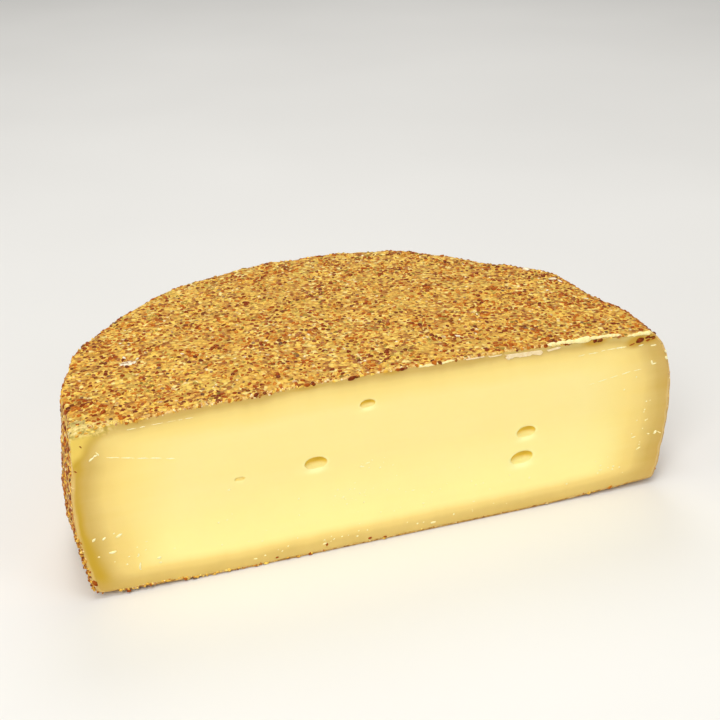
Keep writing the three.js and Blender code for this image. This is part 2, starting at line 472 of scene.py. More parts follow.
def ring_faces(outer, inner):
    return np.stack([outer, inner, np.roll(inner, -1), np.roll(outer, -1)], axis=1)


def fan_faces(loop, middle):
    return np.stack([loop, np.roll(loop, -1), np.full(len(loop), middle)], axis=1)


def coat_marks(points, chip):
    """Where the coat is bare, shows its cut edge, is paler at an end or was dragged, by attribute"""
    back = points[:, 1] + CUT_BESIDE_MIDDLE
    bare = np.concatenate([chip, np.zeros(len(points) - len(chip))])
    at_ends = smoothstep(np.abs(points[:, 0]), *PALE_ENDS["outward"])
    at_ends = at_ends * fade(points[:, 2], *PALE_ENDS["upward"])
    corner = (
        smoothstep(-points[:, 0], *DRAGGED_CORNER["outward"])
        * smoothstep(points[:, 2], *DRAGGED_CORNER["upward"])
        * hump(back, DRAGGED_CORNER["back"])
    )
    return {
        "bare": bare,
        "cut_edge": hump(back, CUT_EDGE_REACH),
        "end_edges": PALE_ENDS["strength"] * at_ends,
        "dragged_coat": corner,
    }


def make_coat(surface, material):
    points, quads, sides, chip = surface
    loop_ids = outline_loop(sides)
    count = len(loop_ids)
    inner = inset_loop(points[loop_ids], COAT_EDGE_WIDTH)
    deep = inner + np.array([0, COAT_POCKET_DEPTH, 0])
    inner_ids = len(points) + np.arange(count)
    deep_ids = inner_ids + count
    all_points = np.concatenate([points, inner, deep, deep.mean(axis=0, keepdims=True)])
    faces = [
        quads,
        ring_faces(loop_ids, inner_ids),
        ring_faces(inner_ids, deep_ids),
        fan_faces(deep_ids, len(all_points) - 1),
    ]
    coat = new_object("mustard_coat", all_points, faces, material)
    face_outward(coat.data)
    set_attributes(coat.data, coat_marks(all_points, chip))
    add_piece(coat)


# The cheese inside, where it shows on the cut

EYE_TILT = 32
EYE_WALL_BUMPS = 0.12
EYE_WALL_BUMPS_APART = 2.3
EYE_LIP_HEIGHT = 0.55
EYE_LIP_DEPTH = 0.75
EYE_RIM_WIDTH = 0.25
EYE_RIM_DEPTH = 0.12
PASTE_PROUD = 0.15
PASTE_DEPTH = 7.5
PASTE_EDGE = 0.35
FACE_BACK = -CUT_BESIDE_MIDDLE - PASTE_PROUD

# How wide the coat's own cut edge shows round the paste: its usual width, how much less it is at the left
# end, how uneven it is, and its limits
COAT_RIM = 0.8
COAT_RIM_LESS_AT_LEFT = 0.45
COAT_RIM_UNEVEN = [(0.35, 6.0, 21), (0.25, 2.2, 22)]
COAT_RIM_LIMITS = (0.25, 1.8)
LEFT_END = (116, 124)

# The knife's shallow streaks: how they are stretched, how steep, and their noise
STREAK_STRETCH = 55
STREAK_SLOPE = 0.12
STREAK_RELIEF = [(0.05, 3.5, 31), (0.08, 11, 32)]


def paste_inset_at(loop):
    """How wide the coat's own cut edge shows, point by point"""
    usual = COAT_RIM - COAT_RIM_LESS_AT_LEFT * smoothstep(-loop[:, 0], *LEFT_END)
    return np.clip(usual + uneven(loop, COAT_RIM_UNEVEN), *COAT_RIM_LIMITS)


def evenly_along(curve, count):
    lengths = np.linalg.norm(np.diff(curve, axis=0), axis=1)
    along = np.concatenate([[0], np.cumsum(lengths)])
    wanted = np.linspace(0, along[-1], count)
    return np.stack([np.interp(wanted, along, curve[:, axis]) for axis in range(3)], axis=1)


def cut_sides(surface):
    """The four sides of the paste's outline, each from left to right or from bottom to top"""
    points, _, sides, _ = surface
    loop = points[outline_loop(sides)]
    loop = inset_loop(loop, paste_inset_at(loop))
    closed = np.concatenate([loop, loop[:1]])
    edges = {}
    first = 0
    for name, (axis, _) in SIDES.items():
        last = first + len(sides[name]) - 1
        curve = closed[first:last + 1]
        steps = FACE_STEPS_UP if axis else FACE_STEPS_ACROSS
        edges[name] = evenly_along(curve[::-1] if name in ("right", "bottom") else curve, steps + 1)
        first = last
    return edges


def edge_at(edges, side, along):
    """How far up or across a side of the outline lies, at places along it"""
    axis, _ = SIDES[side]
    return np.interp(along, edges[side][:, axis], edges[side][:, 2 - axis])


def inside_edge(edges, side, points):
    """How far points of the face lie inside one side of the outline"""
    axis, outward = SIDES[side]
    return outward * (edge_at(edges, side, points[:, axis]) - points[:, 2 - axis])


def face_grid(edges):
    """A grid of points spread evenly between four sides"""
    across = np.linspace(0, 1, FACE_STEPS_ACROSS + 1)[:, None, None]
    up = np.linspace(0, 1, FACE_STEPS_UP + 1)[None, :, None]
    top, right, bottom, left = (edges[name] for name in SIDES)
    between_levels = (1 - up) * bottom[:, None] + up * top[:, None]
    between_ends = (1 - across) * left[None] + across * right[None]
    low_corners = (1 - up) * ((1 - across) * bottom[0] + across * bottom[-1])
    high_corners = up * ((1 - across) * top[0] + across * top[-1])
    return between_levels + between_ends - low_corners - high_corners


def knife_relief(points):
    """Shallow streaks that the knife left, running nearly level"""
    x, z = points[:, 0], points[:, 2]
    return uneven(np.stack([x / STREAK_STRETCH, z - STREAK_SLOPE * x, 0 * x], axis=1), STREAK_RELIEF)


def eye_cutter():
    """Stretched balls, centred on the face, with slightly uneven walls"""
    work = bmesh.new()
    tilt = Matrix.Rotation(math.radians(EYE_TILT), 4, "X")
    for across, up, width, height, depth, raised in EYES:
        place = Matrix.Translation(to_metres(np.array([across, -CUT_BESIDE_MIDDLE, up])))
        size = Matrix.Diagonal((width / 2000, depth / 1000, height / 2000, 1))
        shape = place @ Matrix.Rotation(-math.radians(raised), 4, "Y") @ tilt @ size
        bmesh.ops.create_uvsphere(work, u_segments=56, v_segments=28, radius=1, matrix=shape)
    for vertex in work.verts:
        vertex.co.z += EYE_WALL_BUMPS / 1000 * noise.noise(vertex.co * 1000 / EYE_WALL_BUMPS_APART)
    mesh = bpy.data.meshes.new("eye_shapes")
    work.to_mesh(mesh)
    work.free()
    return put_in_scene("eye_shapes", mesh)


def cut_eyes(paste):
    cutter = eye_cutter()
    modifier = paste.modifiers.new("eyes", "BOOLEAN")
    modifier.operation = "DIFFERENCE"
    modifier.solver = "EXACT"
    modifier.object = cutter
    bpy.context.view_layer.update()
    seen = paste.evaluated_get(bpy.context.evaluated_depsgraph_get())
    cut = bpy.data.meshes.new_from_object(seen)
    paste.modifiers.clear()
    paste.data = cut
    bpy.data.objects.remove(cutter)


def turned_about(points, across, up, raised):
    """How far points lie along and above a place on the face, with its right raised by some degrees"""
    turn = math.radians(raised)
    dx, dz = points[:, 0] - across, points[:, 2] - up
    return dx * math.cos(turn) + dz * math.sin(turn), dz * math.cos(turn) - dx * math.sin(turn)


def in_terms_of_each_eye(points):
    """For each eye: its depth, and how far points lie along, above and in, as shares of its half sizes"""
    for across, up, width, height, depth, raised in EYES:
        along, above = turned_about(points, across, up, raised)
        yield depth, along / (width / 2), above / (height / 2), (points[:, 1] - FACE_BACK) / depth


def soften_lower_lips(points):
    """Pushes the face in just below each eye, so that its lower wall slopes out to the face"""
    pushed = points.copy()
    for depth, along, above, inward in in_terms_of_each_eye(points):
        size = min(1.0, depth / 3) * (inward > -0.2)
        lip = hump(above + 0.95, EYE_LIP_HEIGHT) * hump(along, 0.8) * (inward < 0.6)
        rim = hump(np.hypot(along, above) - 1, EYE_RIM_WIDTH) * (inward < 0.3)
        pushed[:, 1] += size * (EYE_LIP_DEPTH * lip + EYE_RIM_DEPTH * rim)
    return pushed


# How the rind's colour runs up from the bottom edge: millimetres above it, and the depth they look like
FOOT_BAND = [(0, 7.5), (4, 9.3), (6.5, 14), (9, 24), (90, 350)]

# Against the ends, how fast the colour runs down from the top, and how softly the four sides join
RIND_UNDER_TOP = 0.37
RIND_SOFTNESS = 4.0

# Where the rind under the top is deeper: across, half width and how much
DEEPER_UNDER_TOP = (-31, 20, 1.2)


def rind_depth_at(points, edges):
    """Millimetres under the rind, as the colour runs: faster from above and below than from the ends"""
    middle, half_width, deeper = DEEPER_UNDER_TOP
    from_top = inside_edge(edges, "top", points) + deeper * hump(points[:, 0] - middle, half_width)
    above_foot = np.interp(inside_edge(edges, "bottom", points), *zip(*FOOT_BAND))
    from_ends = [inside_edge(edges, side, points) for side in ("left", "right")]
    distances = np.maximum(np.stack([from_top / RIND_UNDER_TOP, above_foot, *from_ends]), 0)
    least = distances.min(axis=0)
    spread = np.exp(-(distances - least) / RIND_SOFTNESS).sum(axis=0)
    return np.maximum(least - RIND_SOFTNESS * np.log(spread), 0)


# How far the painted shade and painted highlights of an eye reach from its middle, as shares of its half
# size, and how strong they are
EYE_REACH = 1.12
LOWER_WALL_PAINTED_SHADE = 0.05
EYE_RIM_PAINTED_HIGHLIGHT = 0.35
LOWER_WALL_PAINTED_HIGHLIGHT = 0.45


def eye_painted_shade_at(points):
    """Painted shade: 1 on the upper wall inside an eye, less on its lower wall, and 0 on the flat face"""
    shade = np.zeros(len(points))
    for depth, along, above, inward in in_terms_of_each_eye(points):
        inside = (np.hypot(along, above) < EYE_REACH) & (inward > 0.04) & (inward < 1.1)
        upper = LOWER_WALL_PAINTED_SHADE + (1 - LOWER_WALL_PAINTED_SHADE) * smoothstep(above + 0.5 * inward, -0.6, 0.25)
        shade = np.maximum(shade, inside * upper * min(1.0, depth / 2))
    return shade


def eye_painted_highlight_at(points):
    """Painted highlight: 1 on the pale lower lip of an eye, and less on its lower wall and the thin pale
    rim round it
    """
    pale = np.zeros(len(points))
    for depth, along, above, inward in in_terms_of_each_eye(points):
        out = np.hypot(along, above)
        lip = hump(above + 1.15, 0.5) * hump(along, 0.9) * (inward < 0.12)
        rim = EYE_RIM_PAINTED_HIGHLIGHT * hump(out - EYE_REACH, 0.14) * (inward < 0.1)
        wall = LOWER_WALL_PAINTED_HIGHLIGHT * smoothstep(-above, 0.15, 0.6) * (inward >= 0.12) * (out < EYE_REACH)
        pale = np.maximum(pale, np.maximum(np.maximum(lip, rim), wall) * min(1.0, depth / 2.5))
    return pale


# Amber marks on the face: across and up, half width, half height, how far turned and how strong
STAINS = [
    (94.5, 79.0, 5.4, 1.9, 0, 1.0),
    (115.0, 75.6, 5.0, 2.6, 10, 1.0),
    (121.5, 76.1, 4.0, 2.2, 8, 0.95),
    (-104.0, 78.2, 8.0, 1.4, -3, 0.3),
    (-34.0, 80.4, 8.0, 1.0, 0, 0.4),
    (2.0, 81.0, 5.0, 1.2, 0, 0.5),
]

# The lemon-coloured upper left corner of the face: its corner, how far it reaches across and down, how its
# edge wanders, and between which shares of the way to its edge it fades
CORNER = {"across": -129.5, "up": 80.0, "width": 20.5, "height": 21.5, "bend": 0.8}
CORNER_WANDER = [(0.12, 7, 53)]
CORNER_FADE = (0.72, 0.95)

# The amber round that corner: where it fades, how strong it is at least, and where it is stronger, each as
# up, half height and how much
AMBER_FADE = (0.90, 1.14)
AMBER_LEAST = 0.5
AMBER_MORE = [(63, 5, 0.5), (77, 3, 0.3)]

# The amber band along the left edge: how far in its middle lies and its half width, and how much more both
# are at the foot
AMBER_BAND = (2.0, 2.0)
AMBER_BAND_MORE_AT_FOOT = (1.6, 1.8)
AMBER_BAND_WANDER = [(0.8, 13, 52)]
FOOT_BETWEEN = (10, 32)

# Bands of colour along the sides of the face: the side, between which places along it they start and end,
# how their inner edge wanders, and between which distances from the side they fade. Olive is coat that was
# dragged under the right half of the top edge, and dragged_coat the same in the upper left corner.
FROM_THE_START = (-201, -200)
BANDS = {
    "olive": ("top", (30, 90), (122, 130), [(0.6, 9, 51)], (1.0, 3.2)),
    "dragged_coat": ("top", FROM_THE_START, (-120, -108), [(1.2, 5, 54)], (1.6, 4.0)),
    "pale_left": ("left", FROM_THE_START, (55, 66), [(0.5, 9, 55)], (0.4, 1.1)),
    "pale_right": ("right", FROM_THE_START, (48, 60), [(0.5, 9, 55)], (0.3, 0.8)),
}
PALE_LEFT_STRENGTH = 0.55


def toward_corner_edge(points):
    """0 in the upper left corner, 1 on the edge of its lemon-coloured patch"""
    across = np.maximum(points[:, 0] - CORNER["across"], 0) / CORNER["width"]
    down = np.maximum(CORNER["up"] - points[:, 2], 0) / CORNER["height"]
    return across ** CORNER["bend"] + down ** CORNER["bend"]


def band_at(name, points, edges):
    """1 in a band of colour along a side of the face, and 0 away from it"""
    side, start, end, wander, inner = BANDS[name]
    axis, _ = SIDES[side]
    inward = inside_edge(edges, side, points) + uneven(points, wander)
    return smoothstep(points[:, axis], *start) * fade(points[:, axis], *end) * fade(inward, *inner)


def amber_at(points, edges):
    """Where the paste is amber: round the lemon corner, and in a band along the left edge"""
    z = points[:, 2]
    stronger = sum(more * hump(z - up, half_height) for up, half_height, more in AMBER_MORE)
    round_corner = fade(toward_corner_edge(points), *AMBER_FADE) * (AMBER_LEAST + stronger)
    at_foot = fade(z, *FOOT_BETWEEN)
    middle, half_width = (
        usual + more * at_foot for usual, more in zip(AMBER_BAND, AMBER_BAND_MORE_AT_FOOT)
    )
    from_left = inside_edge(edges, "left", points) - uneven(points, AMBER_BAND_WANDER)
    strength = smoothstep(z, 1, 12) * (1 - 0.4 * hump(z - 54, 10)) * fade(z, 66, 72)
    return np.maximum(round_corner, strength * hump(from_left - middle, half_width))


def pale_rim_at(points, edges):
    """Paler paste next to the coat on the left, and a thin pale line down the right end"""
    left, right = (band_at(name, points, edges) for name in ("pale_left", "pale_right"))
    return np.maximum(PALE_LEFT_STRENGTH * left, right)


def stain_at(points):
    stain = np.zeros(len(points))
    for across, up, half_width, half_height, raised, strength in STAINS:
        along, above = turned_about(points, across, up, raised)
        stain = np.maximum(stain, strength * hump(along, half_width) * hump(above, half_height))
    return stain


def lemon_at(points):
    return fade(toward_corner_edge(points) + uneven(points, CORNER_WANDER), *CORNER_FADE)


def paste_marks(points, edges):
    """How the face's colour changes, by attribute"""
    return {
        "rind_depth": rind_depth_at(points, edges),
        "eye": eye_painted_shade_at(points),
        "amber": amber_at(points, edges),
        "eye_painted_highlight": eye_painted_highlight_at(points),
        "stain": stain_at(points),
        "pale_rim": pale_rim_at(points, edges),
        "lemon": lemon_at(points),
        "olive": band_at("olive", points, edges),
        "dragged_coat": band_at("dragged_coat", points, edges),
    }


def make_paste(edges, material):
    grid = face_grid(edges)
    grid[:, :, 1] = FACE_BACK
    flat = grid.reshape(-1, 3)
    flat[:, 1] += knife_relief(flat)
    ids = np.arange(len(flat)).reshape(grid.shape[:2])
    loop_ids = np.concatenate([ids[:-1, -1], ids[-1, :0:-1], ids[:0:-1, 0], ids[0, :-1]])
    count = len(loop_ids)
    rounded = inset_loop(flat[loop_ids], -0.3 * PASTE_EDGE) + np.array([0, PASTE_EDGE, 0])
    back = rounded + np.array([0, PASTE_DEPTH, 0])
    rounded_ids = len(flat) + np.arange(count)
    back_ids = rounded_ids + count
    points = np.concatenate([flat, rounded, back, back.mean(axis=0, keepdims=True)])
    faces = [
        grid_faces(ids),
        ring_faces(loop_ids, rounded_ids),
        ring_faces(rounded_ids, back_ids),
        fan_faces(back_ids, len(points) - 1),
    ]
    paste = new_object("cheese_paste", points, faces, material)
    face_outward(paste.data)
    cut_eyes(paste)
    paste.data.name = "cheese_paste"
    points = mesh_points(paste.data)
    softened = to_metres(soften_lower_lips(points))
    paste.data.vertices.foreach_set("co", softened.astype(np.float32).ravel())
    set_attributes(paste.data, paste_marks(points, edges))
    add_piece(paste)


# The seeds

SEED_SPACING = 1.8
SEED_TRIES = 140000

# What shows beside the hull of most kinds, darkest first
FLESH = ["#c48a34", "#e8b848", "#fada68"]

# Each kind: its share of the places, its length, width and thickness, how deep it is sunk, how crushed it
# is, whether it broke into flat facets, how little of it the hull covers, and the colours of its hull and
# of what shows beside the hull, darkest first
SeedKind = namedtuple("SeedKind", "share size sunk crushed facets hull colours flesh", defaults=[FLESH])
SEED_KINDS = {
    "seeds_russet": SeedKind(
        0.16, (2.7, 2.1, 1.6), 0.12, 0.15, False, -0.3, ["#6c2604", "#984408", "#c06c18"],
    ),
    "seeds_chestnut": SeedKind(
        0.14, (2.6, 2.1, 1.5), 0.15, 0.15, False, -0.15, ["#6a3208", "#955318", "#bc812e"],
    ),
    "seeds_plum": SeedKind(
        0.11, (2.4, 2.0, 1.5), 0.15, 0.15, False, -0.2, ["#642a12", "#8a4720", "#ac6e3e"],
    ),
    "seeds_slate": SeedKind(
        0.012, (2.1, 1.9, 1.5), 0.12, 0.10, False, -0.2, ["#5e3a26", "#7a543a", "#9a7452"],
    ),
    "crushed_rust": SeedKind(
        0.13, (3.0, 2.0, 1.4), 0.10, 0.22, False, 0.05, ["#98420a", "#b66418", "#d08a30"],
    ),
    "crushed_olive": SeedKind(
        0.08, (2.7, 1.9, 1.3), 0.10, 0.22, True, 0.0, ["#7d6220", "#a38636", "#c2a450"],
    ),
    "husks_gold": SeedKind(
        0.13, (2.9, 1.9, 1.2), 0.05, 0.25, True, 0.3,
        ["#92400f", "#b5651f", "#cf8a38"], ["#dca63a", "#f2c650", "#fbdf7c"],
    ),
    "husks_cream": SeedKind(
        0.028, (2.4, 1.6, 1.0), 0.05, 0.25, True, 0.6,
        ["#9a6a44", "#b98d62", "#d0ab7e"], ["#e2c07c", "#f2daa0", "#f9e8c0"],
    ),
}

# How unevenly sized the grains are and how far they lean over, as shares
GRAIN_UNEVENNESS = 0.17
GRAIN_LEAN = 0.22

# How far the middle of a hull lies toward the top of its seed, against how far it lies to one side
HULL_TOWARD_TOP = 0.9

# How much deeper seeds are sunk where the mustard paste is thick, as a share of their thickness, and how
# quickly the thick places turn to thin ones
BURIED = 0.3
BURIED_CONTRAST = 1.4

# The grains under the cheese are pressed flat at heights from 0 to this one, all below the coat's own
LEAST_GRAIN_HEIGHTS = 0.12

# How far apart the redder and the sparser patches lie, each with the seed of its noise, and how much
# sparser they are
REDDER_PATCHES = (34, 41)
SPARSER_PATCHES = (11, 42)
SPARSENESS = 0.75

# How much more of a kind grows in the redder patches, and less elsewhere
PATCHINESS = {"seeds_russet": 0.7, "crushed_rust": 1.0, "crushed_olive": -0.9, "seeds_plum": -0.3}

# The redder patch over the right end: its middle across, its half width, how much redder and less sparse
RED_END = {"across": 108, "half_width": 30, "redder": 0.45, "less_sparse": 0.4}

# Where seeds are left out: on a share of the underside and, next to the cut, at the right end, on part of
# the upper left corner and along the left edge
UNDERSIDE_BARE = {"facing": -0.6, "share": 0.72}
NEAR_CUT = 3.5
RIGHT_END_BARE = {"beyond": 108, "below": 78, "corner_beyond": 120}
LEFT_CORNER_BARE = {"beyond": -110, "above": 76, "share": 0.7}
LEFT_EDGE_BARE = {"beyond": -118, "below": 77, "back": 1.3}


def triangles_of(quads):
    return np.concatenate([quads[:, [0, 1, 2]], quads[:, [0, 2, 3]]])


def spread_over(points, quads, random):
    """Places spread evenly over a surface, no nearer than the seeds' spacing, with the way out there"""
    triangles = triangles_of(quads)
    a, b, c = (points[triangles[:, corner]] for corner in range(3))
    crosses = np.cross(b - a, c - a)
    areas = np.linalg.norm(crosses, axis=1) / 2
    chosen = random.choice(len(triangles), SEED_TRIES, p=areas / areas.sum())
    first = np.sqrt(random.random(SEED_TRIES))[:, None]
    second = random.random(SEED_TRIES)[:, None]
    places = (1 - first) * a[chosen] + first * (1 - second) * b[chosen] + first * second * c[chosen]
    normals = point_normals(points, quads)
    outward = sum(normals[triangles[chosen, corner]] for corner in range(3))
    outward /= np.linalg.norm(outward, axis=1, keepdims=True)
    kept = thinned(places)
    return places[kept], outward[kept]


def thinned(places):
    """The numbers of places that are no nearer than the spacing to an earlier one"""
    taken = {}
    kept = []
    cells = np.floor(places / SEED_SPACING).astype(int)
    nearby = [(i, j, k) for i in (-1, 0, 1) for j in (-1, 0, 1) for k in (-1, 0, 1)]
    closest = SEED_SPACING ** 2
    rows = places.tolist()
    for number, (i, j, k) in enumerate(cells.tolist()):
        x, y, z = rows[number]
        clear = True
        for di, dj, dk in nearby:
            other = taken.get((i + di, j + dj, k + dk))
            if other and (other[0] - x) ** 2 + (other[1] - y) ** 2 + (other[2] - z) ** 2 < closest:
                clear = False
                break
        if clear:
            taken[(i, j, k)] = (x, y, z)
            kept.append(number)
    return np.array(kept)


def small_ball(subdivisions):
    work = bmesh.new()
    bmesh.ops.create_icosphere(work, subdivisions=subdivisions, radius=1)
    points = np.array([vertex.co[:] for vertex in work.verts])
    triangles = np.array([[vertex.index for vertex in face.verts] for face in work.faces])
    work.free()
    return points, triangles


def frames_facing(outward, random):
    """For each direction, three axes at right angles of which the last faces that way"""
    helper = random.normal(size=outward.shape)
    first = np.cross(helper, outward)
    first /= np.linalg.norm(first, axis=1, keepdims=True)
    second = np.cross(outward, first)
    return np.stack([first, second, outward], axis=1)


def grains(places, outward, size, sunk, crushed, random, subdivisions):
    """Joined grains, one at each place, and how near each point is to the middle of its grain's hull

    size is three lengths, or three for each place, and sunk is one share, or one for each place.
    """
    ball, triangles = small_ball(subdivisions)
    count = len(places)
    tilt = outward + GRAIN_LEAN * random.normal(size=outward.shape)
    tilt /= np.linalg.norm(tilt, axis=1, keepdims=True)
    axes = frames_facing(tilt, random)
    scale = np.broadcast_to(size, (count, 3)) / 2
    scale = scale * (1 + GRAIN_UNEVENNESS * random.uniform(-1, 1, (count, 3)))
    crushing = 1 + crushed * random.uniform(-1, 1, (count, len(ball), 1))
    points = np.einsum("nvi,nij->nvj", ball[None] * scale[:, None] * crushing, axes)
    depth = sunk * scale[:, 2] * 2
    points += (places - outward * depth[:, None])[:, None]
    faces = triangles[None] + len(ball) * np.arange(count)[:, None, None]
    turns = random.uniform(0, 2 * math.pi, count)
    hull_middles = np.stack([np.cos(turns), np.sin(turns), np.full(count, HULL_TOWARD_TOP)], axis=1)
    hull_middles /= math.hypot(1, HULL_TOWARD_TOP)
    return points.reshape(-1, 3), faces.reshape(-1, 3), (hull_middles @ ball.T).ravel()


def pressed_flat(points, tint):
    """Grains flattened where the cheese rests, each at its own height so that no two share a plane"""
    points[:, 2] = np.maximum(points[:, 2], LEAST_GRAIN_HEIGHTS * tint)
    return points


GRAINS_PROUD_OF_CUT = 0.45


def sliced_at_cut(points):
    """Grains that the knife met end just in front of the cut"""
    points[:, 1] = np.maximum(points[:, 1], -CUT_BESIDE_MIDDLE - GRAINS_PROUD_OF_CUT)
    return points


# Grains on the face: how crushed they are, how far they stand off it against their thickness, their tint
FACE_GRAIN_CRUSHED = 0.22
FACE_GRAIN_FLATNESS = 0.32
FACE_GRAIN_TINT = 0.1

# Seeds dragged onto the face, by kind: across and up, length, thickness, and how far turned
FACE_SEEDS = {
    "seeds_russet": [
        (94.5, 79.3, 2.1, 1.7, 0), (97.5, 78.9, 1.7, 1.0, 40), (116.5, 75.9, 4.0, 2.3, 12),
        (120.3, 76.7, 2.6, 1.1, 12), (-15.3, 81.4, 3.6, 1.9, 5), (6.2, 81.6, 2.4, 1.4, 0),
    ],
    "seeds_chestnut": [
        (96.4, 78.9, 1.6, 0.9, 20), (122.6, 76.4, 3.2, 0.9, 8), (-13.0, 81.7, 2.0, 1.2, 0),
    ],
    "crushed_rust": [
        (112.7, 74.4, 2.6, 0.6, 16), (120.6, 75.2, 2.4, 0.9, 14), (123.2, 75.6, 2.0, 0.8, 12),
        (4.4, 81.7, 2.2, 1.3, 0), (-2.5, 1.2, 1.6, 0.8, 0), (-51.2, 2.2, 1.6, 0.8, 0),
        (-127.4, 8.2, 3.2, 1.8, -60), (-114.2, 1.0, 2.2, 1.1, 8), (-125.1, 71.9, 1.2, 0.5, -60),
        (-128.4, 61.4, 1.5, 0.5, -40), (-9.4, 2.1, 1.8, 1.0, 5), (-28.9, 3.4, 0.9, 1.3, -20),
    ],
    "crushed_olive": [
        (-124.6, 78.1, 1.8, 1.0, 10), (-121.2, 78.6, 1.7, 0.9, -10), (-118.3, 78.9, 1.9, 1.0, 5),
        (-125.9, 76.8, 1.6, 0.9, 30), (-122.4, 77.3, 1.8, 0.8, 0), (-115.4, 79.2, 1.6, 0.9, 8),
        (78.5, 80.3, 2.2, 1.0, 0),
    ],
    "husks_gold": [
        (-0.8, 81.8, 2.4, 1.3, 0), (-11.0, 81.8, 2.2, 1.1, 0), (-22.5, 81.5, 2.6, 1.3, 0),
        (-119.8, 77.5, 2.0, 1.0, 10),
    ],
}


def turned_grains(spots, random):
    """Flat grains on the face: across and up, length, thickness and turn of each"""
    ball, triangles = small_ball(2)
    points, faces = [], []
    for number, (across, up, length, thickness, turned) in enumerate(spots):
        crushing = 1 + FACE_GRAIN_CRUSHED * random.uniform(-1, 1, (len(ball), 1))
        size = np.array([length / 2, thickness * FACE_GRAIN_FLATNESS, thickness / 2])
        local = ball * crushing * size
        x, z = turned_about(local, 0, 0, -turned)
        points.append(np.stack([x + across, local[:, 1] + FACE_BACK, z + up], axis=1))
        faces.append(triangles + number * len(ball))
    return np.concatenate(points), np.concatenate(faces)


def make_seeds(name, kind, places, outward, random, material):
    sunk = kind.sunk + BURIED * np.clip(0.5 + BURIED_CONTRAST * noise_at(places, 7, 43), 0, 1)
    fineness = 1 if kind.facets else 2
    points, faces, hull = grains(places, outward, kind.size, sunk, kind.crushed, random, fineness)
    points = sliced_at_cut(points)
    tint = np.repeat(random.random(len(places)), len(points) // len(places))
    if name in FACE_SEEDS:
        extra_points, extra_faces = turned_grains(FACE_SEEDS[name], random)
        faces = np.concatenate([faces, extra_faces + len(points)])
        points = np.concatenate([points, extra_points])
        hull = np.concatenate([hull, np.full(len(extra_points), -1.0 if kind.facets else 1.0)])
        tint = np.concatenate([tint, np.full(len(extra_points), FACE_GRAIN_TINT)])
    piece = new_object(name, pressed_flat(points, tint), [faces], material)
    set_attributes(piece.data, {"tint": tint, "hull": hull})
    add_piece(piece)


def seed_kind_numbers(places, random):
    """Which kind grows at each place, or -1 for none, in patches"""
    shares = np.array([kind.share for kind in SEED_KINDS.values()])
    red_end = RED_END["redder"] * hump(places[:, 0] - RED_END["across"], RED_END["half_width"])
    redder = noise_at(places, *REDDER_PATCHES) + red_end
    sparser = noise_at(places, *SPARSER_PATCHES) - RED_END["less_sparse"] * red_end
    lean = np.tile(shares, (len(places), 1))
    for column, name in enumerate(SEED_KINDS):
        lean[:, column] *= 1 + PATCHINESS.get(name, 0) * redder
    lean *= (1 - SPARSENESS * sparser)[:, None]
    draw = random.random(len(places))[:, None]
    number = (draw > np.cumsum(lean, axis=1)).sum(axis=1)
    return np.where(number >= len(shares), -1, number)


def bare_of_seeds(places, outward, random):
    """Whether seeds are left out at each place"""
    x, y, z = places.T
    near_cut = y < NEAR_CUT - CUT_BESIDE_MIDDLE
    most = random.random(len(places)) < UNDERSIDE_BARE["share"]
    underside = (outward[:, 2] < UNDERSIDE_BARE["facing"]) & most
    right, corner, left = RIGHT_END_BARE, LEFT_CORNER_BARE, LEFT_EDGE_BARE
    right_end = near_cut & (x > right["beyond"]) & ((z < right["below"]) | (x > right["corner_beyond"]))
    most = random.random(len(places)) < corner["share"]
    left_corner = near_cut & (x < corner["beyond"]) & (z > corner["above"]) & most
    left_edge = (y < left["back"] - CUT_BESIDE_MIDDLE) & (x < left["beyond"]) & (z < left["below"])
    return underside | (chip_depth_at(places) > 0) | right_end | left_corner | left_edge


def make_all_seeds(surface, random):
    points, quads, _, _ = surface
    places, outward = spread_over(points, quads, random)
    numbers = seed_kind_numbers(places, random)
    numbers[bare_of_seeds(places, outward, random)] = -1
    for number, (name, kind) in enumerate(SEED_KINDS.items()):
        here = numbers == number
        make_seeds(name, kind, places[here], outward[here], random, seed_material(name, kind))


# Marks of the knife, and bits of paste and coat that it left on the face

# Scratches: from and to, across and up, and half width
KNIFE_MARKS = [
    ((-116.0, 65.3), (-89.7, 59.3), 0.27),
    ((86.7, 73.4), (105.5, 74.0), 0.17),
    ((105.0, 74.0), (110.9, 73.8), 0.30),
    ((92.5, 58.4), (120.6, 61.9), 0.22),
    ((-107.0, 75.8), (-98.0, 76.0), 0.26),
    ((-97.5, 76.1), (-80.0, 76.4), 0.13),
]

